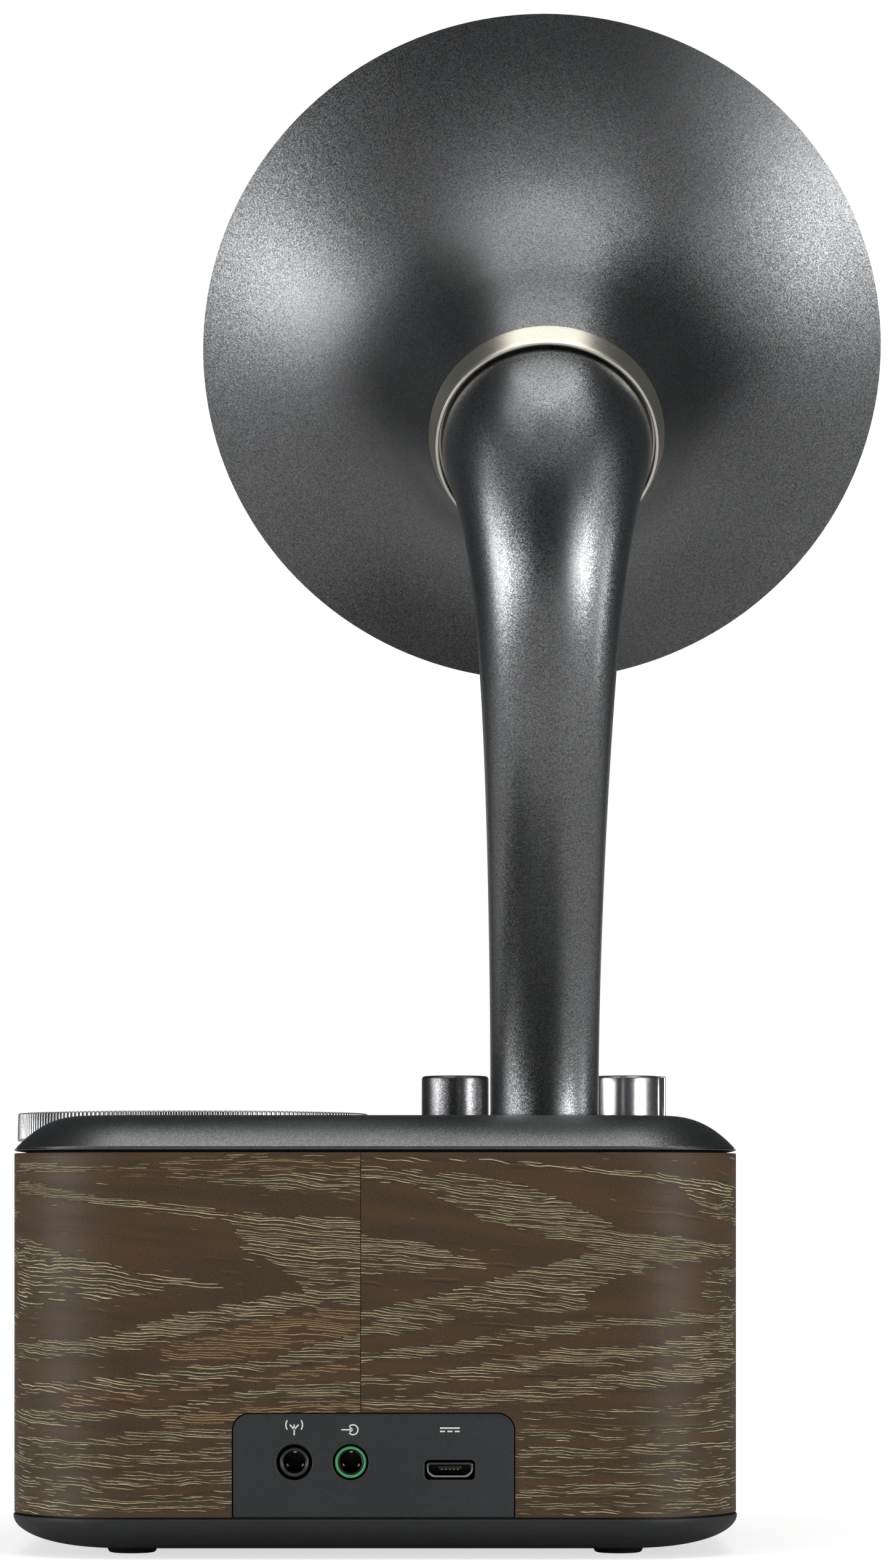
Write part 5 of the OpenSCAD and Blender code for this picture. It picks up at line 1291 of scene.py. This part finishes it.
ant, ant_c = make_socket("antenna_socket_body", 12.9, 2.42, ant_hi[1], True)
piece(ant, "cabinet", "socket_black", M["socket_black"], "antenna_socket")
ant.data.materials.append(M["socket_ring"])
for p in ant.data.polygons:
    c = p.center * 1000
    rr = math.hypot(c.x - 12.9, c.z - jz)
    if c.y > ant_hi[1] - 0.4 and rr > 1.85:
        p.material_index = 1
aud, aud_c = make_socket("audio_socket_body", 3.74, 2.1, aud_hi[1], False)
piece(aud, "cabinet", "socket_black", M["socket_black"], "audio_socket")
for c in (ant_c, aud_c):
    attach(c, "cabinet")
    c.data.materials.clear()
    c.data.materials.append(M["contact_gold"])

gy = green_hi[1]
green = lathe("audio_socket_ring", [(2.12, 55), (2.6, 55), (2.6, gy - 0.20), (2.54, gy - 0.07), (2.40, gy), (2.26, gy), (2.16, gy - 0.06), (2.12, gy - 0.16)],
              (3.74, 0, jz), "Y", 112)
piece(green, "cabinet", "socket_green", M["socket_green"], "audio_socket_collar")

def usb_pts(w, h, soft=0.0):
    x, z = (usb_lo[0] + usb_hi[0]) / 2, (usb_lo[2] + usb_hi[2]) / 2
    k = 0.85 * h / 2.43
    base = [(-w / 2, h / 2), (w / 2, h / 2), (w / 2, -h / 2 + k), (w / 2 - 0.9, -h / 2), (-w / 2 + 0.9, -h / 2), (-w / 2, -h / 2 + k)]
    out = []
    n = len(base)
    for i, (px, pz) in enumerate(base):
        ax, az = base[i - 1]; bx, bz = base[(i + 1) % n]
        da, db = math.hypot(ax - px, az - pz), math.hypot(bx - px, bz - pz)
        c = min(soft, da * 0.4, db * 0.4)
        p0 = (px + (ax - px) / da * c, pz + (az - pz) / da * c)
        p1 = (px + (bx - px) / db * c, pz + (bz - pz) / db * c)
        for t in (0, 0.25, 0.5, 0.75, 1):
            q0 = (p0[0] + (px - p0[0]) * t, p0[1] + (pz - p0[1]) * t)
            q1 = (px + (p1[0] - px) * t, pz + (p1[1] - pz) * t)
            out.append((x + q0[0] + (q1[0] - q0[0]) * t, z + q0[1] + (q1[1] - q0[1]) * t))
    return out

usb = prism("usb_shell_body", usb_pts(7.5, 2.43, 0.45), usb_lo[1], usb_hi[1], 0.06, 2)
cut(usb, [prism("in", usb_pts(6.9, 1.83, 0.32), usb_lo[1] + 0.7, usb_hi[1] + 2)], sharp=30)
piece(usb, "cabinet", "steel", M["usb_steel"], "usb_shell")
usb.data.materials.append(M["usb_inside_painted_shade"])
# the walls inside the USB shell take the near-black steel, which is painted shade in the opening
for p in usb.data.polygons:
    c = p.center * 1000
    if abs(c.x - (usb_lo[0] + usb_hi[0]) / 2) < 3.5 and abs(c.z - (usb_lo[2] + usb_hi[2]) / 2) < 0.96 and usb_lo[1] + 0.3 < c.y < usb_hi[1] - 0.02:
        p.material_index = 1
ux, uz = (usb_lo[0] + usb_hi[0]) / 2, (usb_lo[2] + usb_hi[2]) / 2
tongue = block("usb_tongue_blade", (ux - 1.9, usb_lo[1] + 0.75, uz + 0.1), (ux + 1.9, usb_hi[1] - 0.75, uz + 0.7), 0.08, 2)
piece(tongue, "cabinet", "socket_black", M["socket_black"], "usb_tongue")

# small generic marks over the sockets: an aerial, an arrow into a ring, and direct current
def bar(x0, z0, x1, z1, w, y, t=0.03):
    dx, dz = x1 - x0, z1 - z0
    k = math.hypot(dx, dz)
    nx, nz = -dz / k * w / 2, dx / k * w / 2
    return prism("bar", [(x0 + nx, z0 + nz), (x1 + nx, z1 + nz), (x1 - nx, z1 - nz), (x0 - nx, z0 - nz)], y - 0.01, y + t)

def ring_mark(x, z, r, w, y, a0=0.0, a1=360.0, t=0.03):
    n = 40
    out = [(x + (r + w / 2) * math.cos(math.radians(a0 + (a1 - a0) * i / n)), z + (r + w / 2) * math.sin(math.radians(a0 + (a1 - a0) * i / n))) for i in range(n + 1)]
    inn = [(x + (r - w / 2) * math.cos(math.radians(a0 + (a1 - a0) * i / n)), z + (r - w / 2) * math.sin(math.radians(a0 + (a1 - a0) * i / n))) for i in range(n, -1, -1)]
    return prism("ring", out + inn, y - 0.01, y + t)

py = plate_hi[1]
zc = 21.15
marks = [bar(12.9, zc - 0.90, 12.9, zc + 0.85, 0.24, py), bar(12.9, zc + 0.02, 12.9 - 0.72, zc + 0.84, 0.24, py), bar(12.9, zc + 0.02, 12.9 + 0.72, zc + 0.84, 0.24, py),
         ring_mark(12.9, zc + 0.78, 1.35, 0.22, py, -34, 34), ring_mark(12.9, zc + 0.78, 1.35, 0.22, py, 146, 214)]
marks += [ring_mark(3.74 - 0.40, zc, 0.80, 0.22, py, 40, 320), bar(3.74 + 1.5, zc, 3.74 - 0.30, zc, 0.22, py), bar(3.74 - 0.36, zc, 3.74 + 0.14, zc + 0.40, 0.22, py), bar(3.74 - 0.36, zc, 3.74 + 0.14, zc - 0.40, 0.22, py)]
marks += [bar(ux - 1.6, zc + 0.27, ux + 1.6, zc + 0.27, 0.24, py)] + [bar(ux - 1.6 + 1.19 * i, zc - 0.27, ux - 1.6 + 1.19 * i + 0.82, zc - 0.27, 0.24, py) for i in range(3)]
printed = join("socket_marks", marks)
finish_shading(printed.data, 30, False)
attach(printed, "cabinet")
printed.data.materials.clear()
printed.data.materials.append(M["mark_white"])

# ------------------------------------------------------------------ the nodes that stay as they are

slots = {}
for row in frame["record"].get("subparts", []):
    slots[row["node"]] = row["material_slot"]
for name, obj in frame["nodes"].items():
    if obj.hide_render:
        continue
    s = slots.get(name, "moulded_black")
    mat = M.get(s, M["moulded_black"])
    if not obj.material_slots:
        obj.data.materials.append(mat)
    for ms in obj.material_slots:
        ms.link = "OBJECT"
        ms.material = mat

# ------------------------------------------------------------------ stage

def emission_world():
    w = bpy.data.worlds.new("studio")
    scene.world = w
    w.use_nodes = True
    t = w.node_tree
    t.nodes.clear()
    out = t.nodes.new("ShaderNodeOutputWorld")
    white = t.nodes.new("ShaderNodeBackground")
    white.inputs[0].default_value = (1, 1, 1, 1)
    white.inputs[1].default_value = 1.0
    dim = t.nodes.new("ShaderNodeBackground")
    dim.inputs[0].default_value = (0.90, 0.95, 1.0, 1)
    dim.inputs[1].default_value = WORLD_DIM
    path = t.nodes.new("ShaderNodeLightPath")
    mix = t.nodes.new("ShaderNodeMixShader")
    t.links.new(path.outputs["Is Camera Ray"], mix.inputs[0])
    t.links.new(dim.outputs[0], mix.inputs[1])
    t.links.new(white.outputs[0], mix.inputs[2])
    t.links.new(mix.outputs[0], out.inputs[0])

WORLD_DIM = 0.06
emission_world()

def make_floor():
    n = 96
    verts = [(0, 0, 0)]
    faces = []
    radii = [0.05, 0.1, 0.15, 0.2, 0.3, 0.45, 0.7, 1.1, 1.7, 2.6]
    for r in radii:
        for j in range(n):
            a = 2 * PI * j / n
            verts.append((1000 * r * math.cos(a), 1000 * r * math.sin(a), 0))
    for j in range(n):
        faces.append((0, 1 + j, 1 + (j + 1) % n))
    for i in range(len(radii) - 1):
        for j in range(n):
            a, b = 1 + i * n + j, 1 + i * n + (j + 1) % n
            faces.append((a, a + n, b + n, b))
    o = build("floor", verts, faces, 180)
    for p in o.data.polygons:
        if p.normal.z < 0:
            p.flip()
    m = Nodes("floor")
    p = m.pos()
    x, y, z = m.xyz(p)
    r = m.math("SQRT", m.math("ADD", m.math("MULTIPLY", x, x), m.math("MULTIPLY", y, y)))
    fade = m.step(r, 0.080, 0.125)
    lit = m.node("ShaderNodeBsdfDiffuse", {"Color": (0.75, 0.75, 0.75, 1)})
    glow = m.node("ShaderNodeEmission", {"Color": (1, 1, 1, 1), "Strength": 0.66})
    diff = m.node("ShaderNodeAddShader")
    m.t.links.new(lit.outputs[0], diff.inputs[0])
    m.t.links.new(glow.outputs[0], diff.inputs[1])
    em = m.node("ShaderNodeEmission", {"Color": (1, 1, 1, 1), "Strength": 1.0})
    mx = m.node("ShaderNodeMixShader", {0: fade})
    m.t.links.new(diff.outputs[0], mx.inputs[1])
    m.t.links.new(em.outputs[0], mx.inputs[2])
    path = m.node("ShaderNodeLightPath")
    plain = m.node("ShaderNodeBsdfDiffuse", {"Color": (0.8, 0.8, 0.8, 1)})
    top = m.node("ShaderNodeMixShader", {0: path.outputs["Is Camera Ray"]})
    m.t.links.new(plain.outputs[0], top.inputs[1])
    m.t.links.new(mx.outputs[0], top.inputs[2])
    m.t.links.new(top.outputs[0], m.out.inputs[0])
    o.data.materials.clear()
    o.data.materials.append(m.mat)
    o.visible_shadow = False
    return o

floor = make_floor()

def area(name, loc, target, w, h, watts, color=(1, 1, 1), glossy=True, diffuse=True, spread=180):
    li = bpy.data.lights.new(name, "AREA")
    li.shape = "RECTANGLE"
    li.size, li.size_y = w, h
    li.energy = watts
    li.color = color
    li.spread = math.radians(spread)
    o = link(bpy.data.objects.new(name, li))
    o.location = loc
    d = Vector(target) - Vector(loc)
    o.rotation_euler = d.to_track_quat("-Z", "Y").to_euler()
    o.visible_glossy = glossy
    o.visible_diffuse = diffuse
    o.visible_camera = False
    return o

cx, cz = horn_x * 0.001, 0.14
def patch(name, az0, az1, el0, el1, radiance):
    """a lit rectangle on a sphere round the object, so bright as the studio is in that direction"""
    reach = 0.9
    az, el = math.radians((az0 + az1) / 2), math.radians((el0 + el1) / 2)
    w = reach * 2 * math.tan(math.radians((az1 - az0) / 2)) * max(math.cos(el), 0.25)
    h = reach * math.radians(el1 - el0)
    d = Vector((-math.sin(az) * math.cos(el), math.cos(az) * math.cos(el), math.sin(el)))
    area(name, Vector((cx, 0, 0.16)) + d * reach, (cx, 0, 0.16), w, h, radiance * PI * w * h)

# side strips low and bright, weaker above, and a broad roof that is brightest behind the horn
for k, (az, low, middle, high) in enumerate(((-83, 2.4, 3.3, 0.95), (-67, 9.8, 1.95, 0.35), (-52, 4.3, 0.1, 0.25), (-38, 1.8, 0.0, 0.2),
                                             (38, 5.2, 1.05, 0.3), (52, 11.5, 3.5, 0.1), (67, 2.2, 1.35, 1.25), (83, 0.1, 0.75, 0.45))):
    for m, (e0, e1, radiance) in enumerate(((-10, 0, low), (0, 13, middle), (13, 30, high))):
        if radiance > 0.05:
            patch("side_%d_%d" % (k, m), az - 7.5, az + 7.5, e0, e1, radiance)
for k, (a0, a1, e0, e1, radiance) in enumerate(((-80, -25, 31, 48, 0.28), (-25, 25, 36, 50, 0.46), (25, 80, 31, 48, 0.28), (-80, -25, 50, 63, 1.2), (-25, 25, 50, 63, 0.3),
                                                (25, 80, 50, 63, 1.3), (-90, -30, 64, 76, 1.0), (-30, 30, 64, 76, 2.7), (30, 90, 64, 76, 1.4))):
    patch("roof_%d" % k, a0, a1, e0, e1, radiance)
area("roof_top", (cx, 0, 1.06), (cx, 0, 0), 0.8, 0.44, 1.44 * PI * 0.8 * 0.44)
# two narrow strips that only the neck sees, for its long edge lights
neck_lit = bpy.data.collections.new("neck_lit")
neck_lit.objects.link(neck)
for name, az, radiance in (("neck_strip_a", -79, 3.2), ("neck_strip_b", 88, 4.2)):
    a = math.radians(az)
    strip = area(name, (cx - 0.6 * math.sin(a), 0.6 * math.cos(a), 0.10), (cx, 0, 0.10), 0.10, 0.20, radiance * PI * 0.02)
    strip.light_linking.receiver_collection = neck_lit
area("front_top", (cx, -0.75, 0.85), (cx, 0, 0.12), 0.7, 0.35, 1.2 * PI * 0.245, glossy=False)
area("front_low", (cx, -1.2, 0.10), (cx, 0, 0.10), 1.1, 0.26, 0.4 * PI * 0.286)
area("front_fill", (cx, -1.1, 0.35), (cx, 0, 0.08), 0.6, 0.5, 1.2 * PI * 0.30, glossy=False)

# ------------------------------------------------------------------ camera

cam_data = bpy.data.cameras.new("camera")
cam = link(bpy.data.objects.new("camera", cam_data))
cam.location = (-0.0121, 0.890, 0.0564)
cam.rotation_euler = (PI / 2, 0, PI)
cam_data.lens = 117.31
cam_data.sensor_width = 36.0
cam_data.sensor_fit = "AUTO"
cam_data.clip_start, cam_data.clip_end = 0.01, 50
# the picture is shifted up only while the camera stands in its own place
d = cam_data.driver_add("shift_y").driver
d.type = "SCRIPTED"
for nm, axis in (("px", "LOC_X"), ("py", "LOC_Y"), ("pz", "LOC_Z")):
    v = d.variables.new()
    v.name = nm
    v.type = "TRANSFORMS"
    v.targets[0].id = cam
    v.targets[0].transform_type = axis
    v.targets[0].transform_space = "WORLD_SPACE"
d.expression = "0.27346 if abs(px + 0.0121) + abs(py - 0.890) + abs(pz - 0.0564) < 0.001 else 0.0"
scene.camera = cam

scene.view_settings.view_transform = "Standard"
scene.view_settings.look = "None"
scene.view_settings.exposure = 0.0

bpy.context.view_layer.update()
